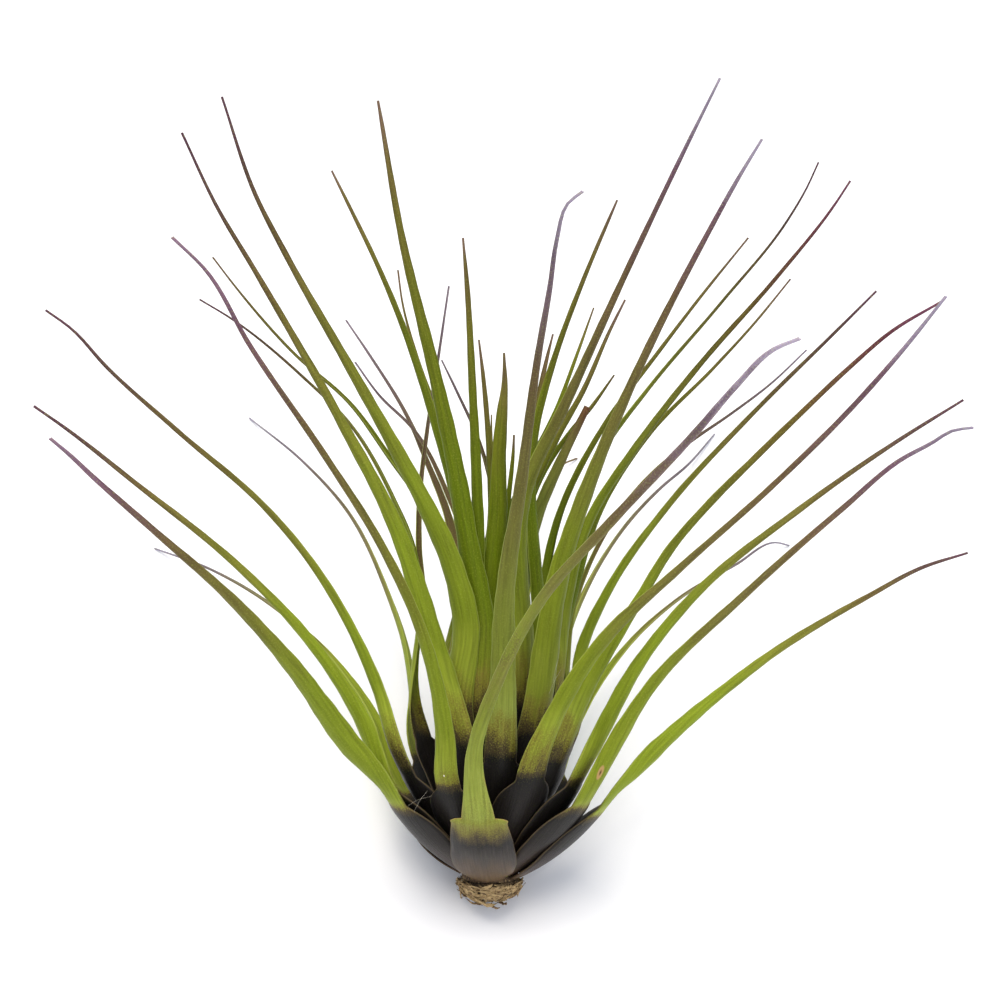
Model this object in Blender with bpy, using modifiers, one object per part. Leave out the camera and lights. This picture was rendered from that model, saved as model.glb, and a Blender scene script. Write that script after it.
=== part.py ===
"""Air plant with a rosette of narrow channelled leaves, lying tipped back on its root stub.

The plant is modelled upright in its own frame, in metres: +Z runs up the stem, +X is to the right
and -Y points at the viewer. An empty then tips it back and sets it down on the floor.
"""
import math
from typing import NamedTuple

import bmesh
import bpy
import numpy as np

MM = 0.001
COLLECTION = "tillandsia_melanocrater"

# How the plant lies: tipped back from upright, until the rear leaf tips touch the floor
TIP_BACK = math.radians(40)

# The photograph that the leaf paths were read from by eye
PHOTO_CENTRE = (500, 500)
PHOTO_SCALE = 0.29 * MM
VIEW_DISTANCE = 450 * MM
CENTRE_ACROSS = 2.9 * MM
CENTRE_UP = 114.5 * MM

# Nested leaf sheaths: the value for the outermost layer and the one for the innermost layer
LAYERS = 17
FOOT_RADIUS = (8.5 * MM, 2.5 * MM)
FOOT_HEIGHT = (6.4 * MM, 31.3 * MM)
SHEATH_LENGTH = (35.5 * MM, 39 * MM)
SHEATH_LEAN = (math.radians(48.5), math.radians(3))
SHEATH_BOW = (math.radians(15), math.radians(2))
SHEATH_MAX_WRAP = 0.84

# Half width of the sheaths at some layers. The front leaf's sheath is narrower than its neighbours.
SHEATH_HALF_WIDTHS = ((0, 11.8 * MM), (3, 9.4 * MM), (17, 6.4 * MM))
NARROW_SHEATHS = {"leaf_front_lowest": 9.9 * MM}

# Sheath outline: half width as a share of the widest, at shares of the sheath's length
SHEATH_OUTLINE = ((0.0, 0.42), (0.2, 0.76), (0.45, 1.0), (0.68, 0.97), (0.8, 0.86), (0.9, 0.52), (1.0, 0.0))

# Blade: how far its channel closes at the sheath and at the tip, in radians of arc to each side, and
# the share of its length over which it rolls
CHANNEL = (0.75, 1.35)
SHEATH_OPENS = (0.75, 1.3)
ROLL_DONE = 0.14
TIP_HALF_WIDTH = 0.3 * MM

# Blade outlines: width as a share of the width just above the sheath, at shares of the blade's length.
# Slender ones narrow fast and then run on thin, pinched ones even faster, and lean ones later. Even ones
# taper steadily, and broad ones keep their width. Long, pointed and torn ones differ in how they end.
TAPERS = {
    "slender": ((0, 1), (0.1, 0.7), (0.2, 0.53), (0.3, 0.42), (0.4, 0.35), (0.5, 0.29), (0.7, 0.2),
                (0.9, 0.12), (1, 0.05)),
    "pinched": ((0, 1), (0.05, 0.64), (0.12, 0.43), (0.17, 0.36), (0.27, 0.33), (0.6, 0.25), (0.8, 0.17),
                (0.95, 0.1), (1, 0.05)),
    "lean": ((0, 1), (0.1, 0.68), (0.2, 0.56), (0.3, 0.46), (0.36, 0.35), (0.45, 0.24), (0.6, 0.19),
             (0.8, 0.16), (0.92, 0.12), (1, 0.05)),
    "even": ((0, 1), (0.15, 0.78), (0.3, 0.6), (0.4, 0.48), (0.5, 0.37), (0.6, 0.28), (0.7, 0.215),
             (0.8, 0.165), (0.9, 0.13), (1, 0.05)),
    "long": ((0, 1), (0.2, 0.72), (0.35, 0.52), (0.5, 0.35), (0.65, 0.24), (0.8, 0.155), (0.9, 0.1),
             (1, 0.05)),
    "broad": ((0, 1), (0.2, 0.73), (0.4, 0.54), (0.55, 0.42), (0.75, 0.26), (0.85, 0.21), (0.95, 0.15),
              (1, 0.06)),
    "short": ((0, 1), (0.2, 0.8), (0.4, 0.59), (0.65, 0.42), (0.8, 0.34), (0.9, 0.26), (1, 0.08)),
    "pointed": ((0, 1), (0.3, 0.85), (0.6, 0.64), (0.8, 0.46), (0.88, 0.3), (0.95, 0.14), (1, 0.06)),
    "torn": ((0, 1), (0.3, 0.8), (0.6, 0.6), (0.85, 0.45), (1, 0.32)),
}
RECURVE = 1.2
LEAF_THICKNESS = (1.0 * MM, 0.6 * MM)
TIP_THICKNESS_SHARE = 0.45
MARGIN_THICKNESS_SHARE = 0.4

# Faces of a leaf: across, and the rows along it as shares of the sheath and then of the blade
LEAF_COLUMNS = 3
SHEATH_ROWS = (0.0, 0.25, 0.5, 0.76, 0.9)
BLADE_ROWS = (0.03, 0.1, 0.2, 0.32, 0.45, 0.58, 0.72, 0.86, 1.0)
SAMPLES_PER_SPAN = 24

# Gap that neighbouring solids keep
GAP = 0.3 * MM

# Stem and root stub
STEM_FOOT = 5.3 * MM
STEM_TOP = 32.8 * MM
STEM_TIP_DROP = 0.4 * MM
STEM_TIP_SHARE = 0.7
STUB_TOP = 5.0 * MM
STUB_RADIUS = 9.2 * MM
STUB_RIM = 7.6 * MM
STUB_BOTTOM = 0.2 * MM
STUB_HOLLOW = 0.9 * MM
STUB_UNDERSIDE_SHARE = 0.7
ROUND_STEPS = 24
MERGE_DISTANCE = 0.01 * MM

# Dry remains of old leaf bases, which hug the stub's front and sides
SCALE_AZIMUTHS = (-88, -43, 1, 44, 90)
SCALE_HALF_WRAP = math.radians(19)
SCALE_HEIGHT = (-0.2 * MM, 5.0 * MM)
SCALE_FLARE = 0.5 * MM
SCALE_THICKNESS = 0.5 * MM
SCALE_COLUMNS = 3

# Short dead roots under the stub: where each points, and how far its end drifts sideways in mm
ROOTS = ((-66, 1.5), (-30, -2.0), (4, 2.2), (36, -1.6), (70, 2.0))
ROOT_RADIUS = 0.45 * MM
ROOT_REACH = (4.5 * MM, 11.0 * MM)
ROOT_HEIGHT = -1.3 * MM
ROOT_SAG = 0.7 * MM
ROOT_POINTS = 6
ROOT_ROUNDNESS = 1

# Surfaces: linear base colour and roughness
LEAF_SURFACE = ((0.2, 0.32, 0.04), 0.55)
STEM_SURFACE = ((0.12, 0.075, 0.035), 0.8)
STUB_SURFACE = ((0.25, 0.17, 0.09), 0.85)
SCALE_SURFACE = ((0.42, 0.29, 0.15), 0.8)
ROOT_SURFACE = ((0.3, 0.2, 0.1), 0.85)

# Floor level under the upright frame's origin, where the stub's rear rim touches
FLOOR = STUB_BOTTOM * math.cos(TIP_BACK) - STUB_RIM * math.sin(TIP_BACK)
TIP_CLEARANCE = 0.6 * MM


class Leaf(NamedTuple):
    """One leaf: which sheath layer it grows from, where it faces and where its blade runs.

    layer counts from the outermost sheaths inwards. azimuth is in degrees, 0 at the viewer and positive
    to the right, and roll is how far the blade has turned on from it. width is the blade's width just
    above its sheath and taper names its outline from there. tip_depth is how far its tip comes towards
    the viewer from the stem's axis, in millimetres, or None where the tip rests on the floor. path holds
    the points of the photograph that the middle of the blade passes through, ending at the tip.
    """

    name: str
    layer: float
    azimuth: float
    roll: float
    width: float
    taper: str
    tip_depth: float
    path: tuple


LEAVES = (
    Leaf("leaf_front_lowest", 0, -5, 0, 9.4, "pinched", 155,
         ((474, 758), (498, 680), (541, 600), (612, 521), (698, 430), (736, 386), (774, 349), (800, 338))),
    Leaf("leaf_right_lowest", 0, 76, -50, 9.6, "slender", -60,
         ((637, 769), (664, 742), (700, 710), (736, 681), (772, 654), (826, 620), (867, 597), (921, 568),
          (967, 553))),
    Leaf("leaf_back_left_on_floor", 0, -126, 0, 7.0, "slender", None,
         ((379, 725), (344, 671), (271, 604), (207, 567), (155, 548))),
    Leaf("leaf_left_lowest", 1, -55, 45, 9.6, "even", 110,
         ((347, 742), (294, 669), (230, 598), (159, 535), (127, 507), (91, 475), (70, 455), (50, 438))),
    Leaf("leaf_front_right_lowest", 1, 54, -25, 9.6, "slender", 95,
         ((609, 755), (650, 688), (742, 597), (844, 507), (903, 458), (931, 443), (953, 430), (973, 427))),
    Leaf("leaf_back_right_on_floor", 1, 142, 0, 6.2, "slender", None,
         ((624, 649), (679, 598), (736, 564), (777, 542), (789, 545))),
    Leaf("leaf_left_2", 2, -62, 41, 9.0, "slender", 35,
         ((360, 716), (303, 633), (239, 567), (134, 482), (64, 427), (34, 406))),
    Leaf("leaf_back_on_floor", 2, 178, 0, 6.5, "slender", None,
         ((526, 600), (544, 500), (563, 464), (577, 458))),
    Leaf("leaf_front_left_2", 3, -22, 8, 7.4, "slender", 100,
         ((445, 740), (424, 639), (381, 545), (325, 456), (249, 344), (204, 268), (172, 237))),
    Leaf("leaf_right_2", 3, 56, -28, 9.4, "slender", 10,
         ((600, 736), (639, 664), (692, 598), (803, 507), (899, 440), (963, 400))),
    Leaf("leaf_back_left_2", 3, -135, 40, 7.4, "even", None,
         ((413, 689), (406, 645), (388, 591), (353, 518), (304, 462), (250, 418))),
    Leaf("leaf_front_right_2", 4, 24, -6, 9.0, "lean", 100,
         ((552, 722), (605, 639), (679, 569), (770, 488), (857, 402), (906, 346), (946, 296))),
    Leaf("leaf_left_3", 4, -58, 8, 9.6, "slender", 20,
         ((377, 687), (348, 622), (303, 551), (266, 508), (178, 431), (106, 366), (71, 328), (46, 310))),
    Leaf("leaf_back_right_2", 4, 150, -45, 7.4, "broad", None,
         ((554, 681), (573, 617), (622, 529), (661, 487), (687, 465), (714, 434))),
    Leaf("leaf_right_3", 5, 45, -10, 9.8, "slender", 35,
         ((587, 689), (612, 645), (641, 597), (672, 547), (711, 502), (754, 459), (797, 417), (851, 366),
          (892, 331), (942, 301))),
    Leaf("leaf_back_left_3", 5, -165, 0, 7.2, "even", -135,
         ((446, 510), (427, 462), (411, 424), (367, 351), (346, 320))),
    Leaf("leaf_front_upright", 6, 7, 0, 9.2, "long", 115,
         ((503, 680), (505, 600), (522, 478), (538, 357), (550, 287), (557, 239), (568, 203), (583, 191))),
    Leaf("leaf_left_5", 6, -125, 30, 7.8, "slender", -25,
         ((420, 575), (412, 540), (395, 500), (351, 424), (303, 376), (230, 317), (200, 299))),
    Leaf("leaf_right_4", 6, 108, -60, 9.4, "slender", 5,
         ((582, 650), (608, 591), (666, 508), (750, 416), (836, 331), (876, 291))),
    Leaf("leaf_left_4", 7, -20, 15, 8.8, "long", 25,
         ((446, 687), (431, 636), (399, 535), (338, 416), (255, 271), (217, 207), (182, 133))),
    Leaf("leaf_back_left_6", 7, -146, 0, 6.0, "slender", -62,
         ((424, 600), (419, 550), (419, 512), (428, 424), (438, 360), (449, 286))),
    Leaf("leaf_right_7", 8, 34, -10, 10.8, "even", 60,
         ((564, 559), (592, 478), (637, 373), (706, 237), (742, 172), (762, 139))),
    Leaf("leaf_back_left_4", 8, 172, 0, 6.2, "slender", -120,
         ((450, 500), (414, 430), (379, 395), (355, 362))),
    Leaf("leaf_front_left_3", 10, -10, 0, 10.0, "broad", 0,
         ((481, 620), (469, 550), (456, 472), (436, 380), (402, 239), (378, 101))),
    Leaf("leaf_right_6", 9, 125, -55, 8.0, "even", -35,
         ((572, 600), (600, 510), (648, 435), (714, 367), (755, 322), (790, 279))),
    Leaf("leaf_left_7", 9, -26, 8, 10.4, "long", 20,
         ((465, 620), (452, 566), (424, 503), (391, 441), (351, 370), (287, 257), (255, 194), (222, 97))),
    Leaf("leaf_right_5", 10, 92, -52, 9.0, "slender", -5,
         ((567, 600), (590, 520), (637, 446), (698, 367), (777, 277), (835, 204), (850, 181))),
    Leaf("leaf_back_2", 10, -150, 0, 6.2, "slender", -95,
         ((462, 500), (440, 420), (420, 365), (402, 300), (398, 270))),
    Leaf("leaf_front_right_3", 11, 32, -5, 9.4, "even", 60,
         ((529, 481), (564, 408), (627, 271), (688, 143), (720, 78))),
    Leaf("leaf_right_8", 11, 132, -48, 8.8, "even", 10,
         ((560, 560), (605, 446), (647, 389), (720, 303), (787, 220), (806, 188), (818, 162))),
    Leaf("leaf_back_left_5", 11, -130, 75, 9.6, "broad", -45,
         ((468, 560), (450, 478), (434, 421), (406, 335), (376, 262), (354, 216), (332, 171))),
    Leaf("leaf_front_right_4", 12, 62, -10, 8.8, "broad", 20,
         ((538, 418), (557, 351), (583, 281), (617, 200))),
    Leaf("leaf_centre_3", 12, -140, 20, 6.2, "broad", -30,
         ((492, 490), (481, 446), (456, 389), (442, 360))),
    Leaf("leaf_centre_1", 13, -15, 0, 6.4, "short", 6,
         ((477, 500), (472, 383), (467, 287), (463, 238))),
    Leaf("leaf_right_9", 13, 105, -58, 7.8, "slender", -30,
         ((565, 500), (601, 431), (660, 350), (702, 295), (735, 254), (748, 238))),
    Leaf("leaf_left_6", 13, -125, 14, 7.6, "even", -10,
         ((458, 600), (441, 548), (422, 503), (391, 459), (351, 404), (293, 352), (236, 287), (213, 257))),
    Leaf("leaf_centre_2", 15, -65, 20, 6.2, "short", -18,
         ((491, 520), (489, 453), (483, 376), (479, 340))),
    Leaf("leaf_right_11", 7, 124, -45, 6.6, "slender", -75,
         ((575, 600), (612, 521), (655, 470), (688, 443), (730, 414), (771, 383), (806, 350))),
    Leaf("leaf_centre_4", 14, -112, 20, 5.4, "short", -25,
         ((494, 500), (493, 460), (492, 435), (492, 415))),
    Leaf("leaf_right_cut_tip", 15, 55, -25, 8.0, "torn", 8,
         ((540, 510), (561, 462), (573, 437), (588, 407))),
    Leaf("leaf_centre_5", 14, -5, 30, 9.6, "pointed", 3,
         ((499, 510), (500, 456), (503, 410), (505, 385), (504, 353))),
    Leaf("leaf_right_10", 16, 0, 0, 6.4, "broad", -12,
         ((555, 440), (582, 393), (611, 328), (625, 300))),
    Leaf("leaf_back_right_3", 15, 175, 0, 5.8, "short", -52,
         ((525, 470), (540, 390), (548, 354), (553, 334))),
    Leaf("leaf_right_13", 16, 115, -50, 6.8, "short", -16,
         ((545, 470), (572, 430), (590, 409), (614, 375))),
    Leaf("leaf_right_12", 16, -125, 55, 6.2, "short", -15,
         ((532, 460), (557, 408), (577, 355), (594, 308))),
    Leaf("leaf_centre_6", 17, -30, 20, 4.6, "short", -8,
         ((508, 500), (511, 475), (513, 455), (514, 435))),
)


def between(pair, share):
    """The value at a share of the way from the first of a pair to the second."""
    return pair[0] + (pair[1] - pair[0]) * share


def smooth(low, high, value):
    """0 below low, 1 above high, and an even S-shaped step between them."""
    share = np.clip((value - low) / (high - low), 0.0, 1.0)
    return share * share * (3 - 2 * share)


def photo_point(pixel, depth):
    """The point of the plant's frame that the photograph shows at a pixel, at a depth from the axis."""
    scale = PHOTO_SCALE * (VIEW_DISTANCE - depth) / VIEW_DISTANCE
    across = CENTRE_ACROSS + (pixel[0] - PHOTO_CENTRE[0]) * scale
    up = CENTRE_UP + (PHOTO_CENTRE[1] - pixel[1]) * scale
    return np.array((across, -depth, up))


def photo_pixel(point):
    """The pixel at which the photograph shows a point of the plant's frame."""
    scale = PHOTO_SCALE * (VIEW_DISTANCE + point[1]) / VIEW_DISTANCE
    right = (point[0] - CENTRE_ACROSS) / scale
    down = (CENTRE_UP - point[2]) / scale
    return np.array((PHOTO_CENTRE[0] + right, PHOTO_CENTRE[1] + down))


def depth_on_floor(pixel):
    """The depth at which the line of sight through a pixel meets the floor."""
    rise = (PHOTO_CENTRE[1] - pixel[1]) * PHOTO_SCALE
    level = FLOOR + TIP_CLEARANCE - math.cos(TIP_BACK) * (CENTRE_UP + rise)
    return level / (math.sin(TIP_BACK) - math.cos(TIP_BACK) * rise / VIEW_DISTANCE)


def sheath_length(leaf):
    """Length of a leaf's sheath along its middle."""
    return between(SHEATH_LENGTH, leaf.layer / LAYERS)


def sheath_middle(leaf, distance):
    """Radius and height above the leaf's foot of the sheath's middle line, at a distance along it."""
    share = leaf.layer / LAYERS
    lean = between(SHEATH_LEAN, share) + between(SHEATH_BOW, share) * (1 - distance / sheath_length(leaf))
    radius = between(FOOT_RADIUS, share) + distance * np.sin(lean)
    return radius, distance * np.cos(lean)


def foot_height(leaf):
    """Height on the stem of a leaf's foot."""
    return between(FOOT_HEIGHT, leaf.layer / LAYERS)


def turned_about_stem(point, degrees):
    """A point turned about the stem's axis."""
    angle = math.radians(degrees)
    x = math.cos(angle) * point[0] - math.sin(angle) * point[1]
    y = math.sin(angle) * point[0] + math.cos(angle) * point[1]
    return np.array((x, y, point[2]))


def blade_waypoints(leaf):
    """Points that the blade passes through in the leaf's own frame, from the sheath's top to the tip.

    The leaf's frame stands at its foot on the stem's axis, and its -Y is the way that the leaf faces.
    """
    radius, height = sheath_middle(leaf, sheath_length(leaf))
    foot = np.array((0.0, 0.0, foot_height(leaf)))
    top = np.array((0.0, -radius, height))
    top_in_plant = turned_about_stem(top, leaf.azimuth) + foot
    tip_depth = depth_on_floor(leaf.path[-1]) if leaf.tip_depth is None else leaf.tip_depth * MM
    pixels = np.vstack((photo_pixel(top_in_plant), leaf.path))
    run = np.cumsum(np.linalg.norm(np.diff(pixels, axis=0), axis=1))
    points = [top]
    for pixel, share in zip(leaf.path, run / run[-1]):
        depth = -top_in_plant[1] + (tip_depth + top_in_plant[1]) * share**RECURVE
        points.append(turned_about_stem(photo_point(pixel, depth) - foot, -leaf.azimuth))
    return np.array(points)


def curve_through(points, first_direction):
    """A smooth curve through the points: cubic spans whose slopes come from the neighbouring points."""
    spans = np.linalg.norm(np.diff(points, axis=0), axis=1)
    slopes = np.empty_like(points)
    slopes[0] = first_direction
    slopes[-1] = (points[-1] - points[-2]) / spans[-1]
    for i in range(1, len(points) - 1):
        before = (points[i] - points[i - 1]) / spans[i - 1]
        after = (points[i + 1] - points[i]) / spans[i]
        slopes[i] = (before * spans[i] + after * spans[i - 1]) / (spans[i] + spans[i - 1])
    share = np.linspace(0, 1, SAMPLES_PER_SPAN, endpoint=False)[:, None]
    parts = []
    for i, span in enumerate(spans):
        parts.append(
            points[i] * (2 * share**3 - 3 * share**2 + 1)
            + slopes[i] * span * (share**3 - 2 * share**2 + share)
            + points[i + 1] * (3 * share**2 - 2 * share**3)
            + slopes[i + 1] * span * (share**3 - share**2)
        )
    return np.concatenate(parts + [points[-1:]])


def leaf_middle(leaf):
    """The leaf's middle line from foot to tip, with the distance of each point along it."""
    length = sheath_length(leaf)
    along = np.linspace(0, length, SAMPLES_PER_SPAN, endpoint=False)
    radius, height = sheath_middle(leaf, along)
    sheath = np.stack((np.zeros_like(along), -radius, height), axis=1)
    waypoints = blade_waypoints(leaf)
    direction = (waypoints[0] - sheath[-1]) / np.linalg.norm(waypoints[0] - sheath[-1])
    line = np.concatenate((sheath, curve_through(waypoints, direction)))
    distance = np.concatenate(((0,), np.cumsum(np.linalg.norm(np.diff(line, axis=0), axis=1))))
    return line, distance


def unit(vectors):
    """Vectors scaled to a length of one."""
    return vectors / np.linalg.norm(vectors, axis=-1, keepdims=True)


def carried_sideways(tangents):
    """Sideways directions along a curve, carried from point to point without twisting."""
    sideways = [np.array((1.0, 0.0, 0.0))]
    for tangent in tangents[1:]:
        last = sideways[-1]
        sideways.append(unit(last - tangent * np.dot(last, tangent)))
    return np.array(sideways)


def sheath_half_width(leaf):
    """Half width of a leaf's sheath where it is widest."""
    layers, widths = zip(*SHEATH_HALF_WIDTHS)
    return NARROW_SHEATHS.get(leaf.name, np.interp(leaf.layer, layers, widths))


def leaf_half_width(leaf, along, blade_share):
    """Half width of the leaf: the sheath's outline, then the tapering blade."""
    shares, widths = zip(*SHEATH_OUTLINE)
    outline = np.interp(along / sheath_length(leaf), shares, widths) * sheath_half_width(leaf)
    shares, widths = zip(*TAPERS[leaf.taper])
    blade = leaf.width * MM / 2 * np.interp(blade_share, shares, widths)
    return max(outline, blade, TIP_HALF_WIDTH)


def turned_about(axis, vector, angle):
    """A vector turned about an axis that is square to it."""
    return math.cos(angle) * vector + math.sin(angle) * np.cross(axis, vector)


def leaf_rows(leaf):
    """For each row of the leaf: its middle, its sideways and inward directions, half width, radius of
    its curved section, and the share of the blade that lies below it."""
    line, distance = leaf_middle(leaf)
    tangents = unit(np.gradient(line, axis=0))
    sideways = carried_sideways(tangents)
    length = sheath_length(leaf)
    blade_length = distance[-1] - length
    stations = [share * length for share in SHEATH_ROWS]
    stations += [length + share * blade_length for share in BLADE_ROWS]
    rows = []
    for station in stations:
        middle, tangent, side = (
            np.array([np.interp(station, distance, values[:, axis]) for axis in range(3)])
            for values in (line, tangents, sideways)
        )
        blade_share = max(0.0, (station - length) / blade_length)
        roll = math.radians(leaf.roll) * smooth(0, ROLL_DONE, blade_share)
        side = turned_about(tangent, side, roll)
        wrap_radius = abs(middle[1])
        half_width = leaf_half_width(leaf, station, blade_share)
        if station < length:
            half_width = min(half_width, SHEATH_MAX_WRAP * wrap_radius)
        opened = smooth(*SHEATH_OPENS, station / length)
        channel_radius = half_width / between(CHANNEL, blade_share)
        radius = wrap_radius ** (1 - opened) * channel_radius**opened
        inward = unit((1 - opened) * np.array((0.0, 1.0, 0.0)) - opened * np.cross(side, tangent))
        depth = radius * (1 - math.cos(half_width / radius))
        middle = middle - opened * depth / 2 * inward
        rows.append((middle, side, inward, half_width, radius, blade_share))
    return rows


def new_object(name, mesh, collection, parent):
    """A mesh object in the part's collection, carried by the tipped empty."""
    piece = bpy.data.objects.new(name, mesh)
    collection.objects.link(piece)
    piece.parent = parent
    return piece


def add_material(piece, surface):
    """A Principled material of the piece's own, with a colour and a roughness."""
    colour, roughness = surface
    material = bpy.data.materials.new(f"{piece.name}_surface")
    material.use_nodes = True
    shader = material.node_tree.nodes["Principled BSDF"]
    shader.inputs["Base Color"].default_value = (*colour, 1.0)
    shader.inputs["Roughness"].default_value = roughness
    shader.inputs["Metallic"].default_value = 0.0
    piece.data.materials.append(material)


def make_leaf(leaf, collection, parent):
    """One leaf: a grid laid along its rows, then given its thickness on the outer side."""
    rows = leaf_rows(leaf)
    mesh = bpy.data.meshes.new(leaf.name)
    piece = new_object(leaf.name, mesh, collection, parent)
    thickness = piece.vertex_groups.new(name="thickness")
    form = bmesh.new()
    weights = form.verts.layers.deform.verify()
    steps = len(rows) - 1
    bmesh.ops.create_grid(form, x_segments=LEAF_COLUMNS, y_segments=steps, size=0.5)
    for vertex in form.verts:
        across = 2 * vertex.co.x
        middle, side, inward, half_width, radius, blade_share = rows[round((vertex.co.y + 0.5) * steps)]
        angle = across * half_width / radius
        vertex.co = middle + radius * math.sin(angle) * side + radius * (1 - math.cos(angle)) * inward
        margin = 1 - (1 - MARGIN_THICKNESS_SHARE) * abs(across)
        vertex[weights][thickness.index] = margin * (1 - (1 - TIP_THICKNESS_SHARE) * blade_share)
    form.to_mesh(mesh)
    form.free()
    shell = piece.modifiers.new("thickness", "SOLIDIFY")
    shell.thickness = between(LEAF_THICKNESS, leaf.layer / LAYERS)
    shell.offset = 1.0
    shell.vertex_group = thickness.name
    shell.thickness_vertex_group = 0.0
    piece.location = (0, 0, foot_height(leaf))
    piece.rotation_euler.z = math.radians(leaf.azimuth)
    mesh.shade_smooth()
    add_material(piece, LEAF_SURFACE)


def make_turned(name, profile, collection, parent):
    """A solid turned about the stem's axis from a profile that runs from its top to its bottom."""
    mesh = bpy.data.meshes.new(name)
    form = bmesh.new()
    points = [form.verts.new((radius, 0, height)) for radius, height in profile]
    for upper, lower in zip(points, points[1:]):
        form.edges.new((upper, lower))
    form.to_mesh(mesh)
    form.free()
    piece = new_object(name, mesh, collection, parent)
    turn = piece.modifiers.new("turn", "SCREW")
    turn.steps = ROUND_STEPS
    turn.render_steps = ROUND_STEPS
    turn.use_merge_vertices = True
    turn.merge_threshold = MERGE_DISTANCE
    return piece


def make_stem(collection, parent):
    """The short woody core, which narrows upwards inside the sheaths."""
    foot_radius, top_radius = (radius - GAP for radius in FOOT_RADIUS)
    profile = (
        (0, STEM_TOP),
        (STEM_TIP_SHARE * top_radius, STEM_TOP - STEM_TIP_DROP),
        (top_radius, FOOT_HEIGHT[1]),
        (foot_radius, FOOT_HEIGHT[0]),
        (foot_radius, STEM_FOOT),
        (0, STEM_FOOT),
    )
    stem = make_turned("stem", profile, collection, parent)
    add_material(stem, STEM_SURFACE)


def make_root_stub(collection, parent):
    """The cut lower end of the stem, which narrows to the rim that the plant rests on."""
    profile = (
        (0, STUB_TOP),
        (STUB_RADIUS, STUB_TOP),
        (STUB_RIM, STUB_BOTTOM),
        (STUB_UNDERSIDE_SHARE * STUB_RIM, STUB_BOTTOM - STUB_UNDERSIDE_SHARE * STUB_HOLLOW),
        (0, STUB_BOTTOM - STUB_HOLLOW),
    )
    stub = make_turned("root_stub", profile, collection, parent)
    add_material(stub, STUB_SURFACE)


def make_dry_scale(number, azimuth, collection, parent):
    """What is left of a dead leaf's foot: a thin curved scale that hugs the stub's side."""
    name = f"dry_scale_{number}"
    mesh = bpy.data.meshes.new(name)
    form = bmesh.new()
    bmesh.ops.create_grid(form, x_segments=SCALE_COLUMNS, y_segments=2, size=0.5)
    for vertex in form.verts:
        angle = 2 * vertex.co.x * SCALE_HALF_WRAP
        height = between(SCALE_HEIGHT, vertex.co.y + 0.5)
        stub_share = (height - STUB_BOTTOM) / (STUB_TOP - STUB_BOTTOM)
        radius = between((STUB_RIM, STUB_RADIUS), stub_share) + GAP + SCALE_FLARE * max(0.0, -2 * vertex.co.y)
        vertex.co = (radius * math.sin(angle), -radius * math.cos(angle), height)
    form.to_mesh(mesh)
    form.free()
    piece = new_object(name, mesh, collection, parent)
    shell = piece.modifiers.new("thickness", "SOLIDIFY")
    shell.thickness = SCALE_THICKNESS
    shell.offset = 1.0
    piece.rotation_euler.z = math.radians(azimuth)
    mesh.shade_smooth()
    add_material(piece, SCALE_SURFACE)


def make_root(number, azimuth, drift, collection, parent):
    """A short dead root that runs out from under the stub and curls back up at its end."""
    name = f"dead_root_{number}"
    curve = bpy.data.curves.new(name, "CURVE")
    curve.dimensions = "3D"
    curve.bevel_depth = ROOT_RADIUS
    curve.bevel_resolution = ROOT_ROUNDNESS
    curve.use_fill_caps = True
    line = curve.splines.new("POLY")
    line.points.add(ROOT_POINTS - 1)
    for i, point in enumerate(line.points):
        share = i / (ROOT_POINTS - 1)
        reach = between(ROOT_REACH, share)
        height = ROOT_HEIGHT - ROOT_SAG * math.sin(math.pi * share)
        point.co = (drift * MM * share**2, -reach, height, 1)
    piece = new_object(name, curve, collection, parent)
    piece.rotation_euler.z = math.radians(azimuth)
    add_material(piece, ROOT_SURFACE)


def settle(collection, plant):
    """Tip the plant back and put the middle of its footprint on the frame's origin, on the floor."""
    plant.rotation_euler.x = -TIP_BACK
    bpy.context.view_layer.update()
    graph = bpy.context.evaluated_depsgraph_get()
    corners = []
    for piece in collection.objects:
        if piece.type == "EMPTY":
            continue
        seen = piece.evaluated_get(graph)
        mesh = seen.to_mesh()
        corners += [seen.matrix_world @ vertex.co for vertex in mesh.vertices]
        seen.to_mesh_clear()
    corners = np.array(corners)
    low = corners.min(axis=0)
    high = corners.max(axis=0)
    plant.location = (-(low[0] + high[0]) / 2, -(low[1] + high[1]) / 2, -low[2])


def main():
    for leftover in list(bpy.data.objects):
        bpy.data.objects.remove(leftover)
    collection = bpy.data.collections.new(COLLECTION)
    bpy.context.scene.collection.children.link(collection)
    plant = bpy.data.objects.new("plant", None)
    collection.objects.link(plant)
    make_stem(collection, plant)
    make_root_stub(collection, plant)
    for number, azimuth in enumerate(SCALE_AZIMUTHS, 1):
        make_dry_scale(number, azimuth, collection, plant)
    for number, (azimuth, drift) in enumerate(ROOTS, 1):
        make_root(number, azimuth, drift, collection, plant)
    for leaf in LEAVES:
        make_leaf(leaf, collection, plant)
    settle(collection, plant)


main()
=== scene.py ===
"""Air plant: a rosette of narrow channelled leaves with dark nested sheaths, lying back on a white table.

The plant is shaped upright in its own frame, in metres: +Z runs up the stem, +X is to the right and -Y
points at the viewer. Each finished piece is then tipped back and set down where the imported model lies.
"""
import math
import random
from typing import NamedTuple

import bpy
import numpy as np
from mathutils import Matrix, Vector


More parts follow.
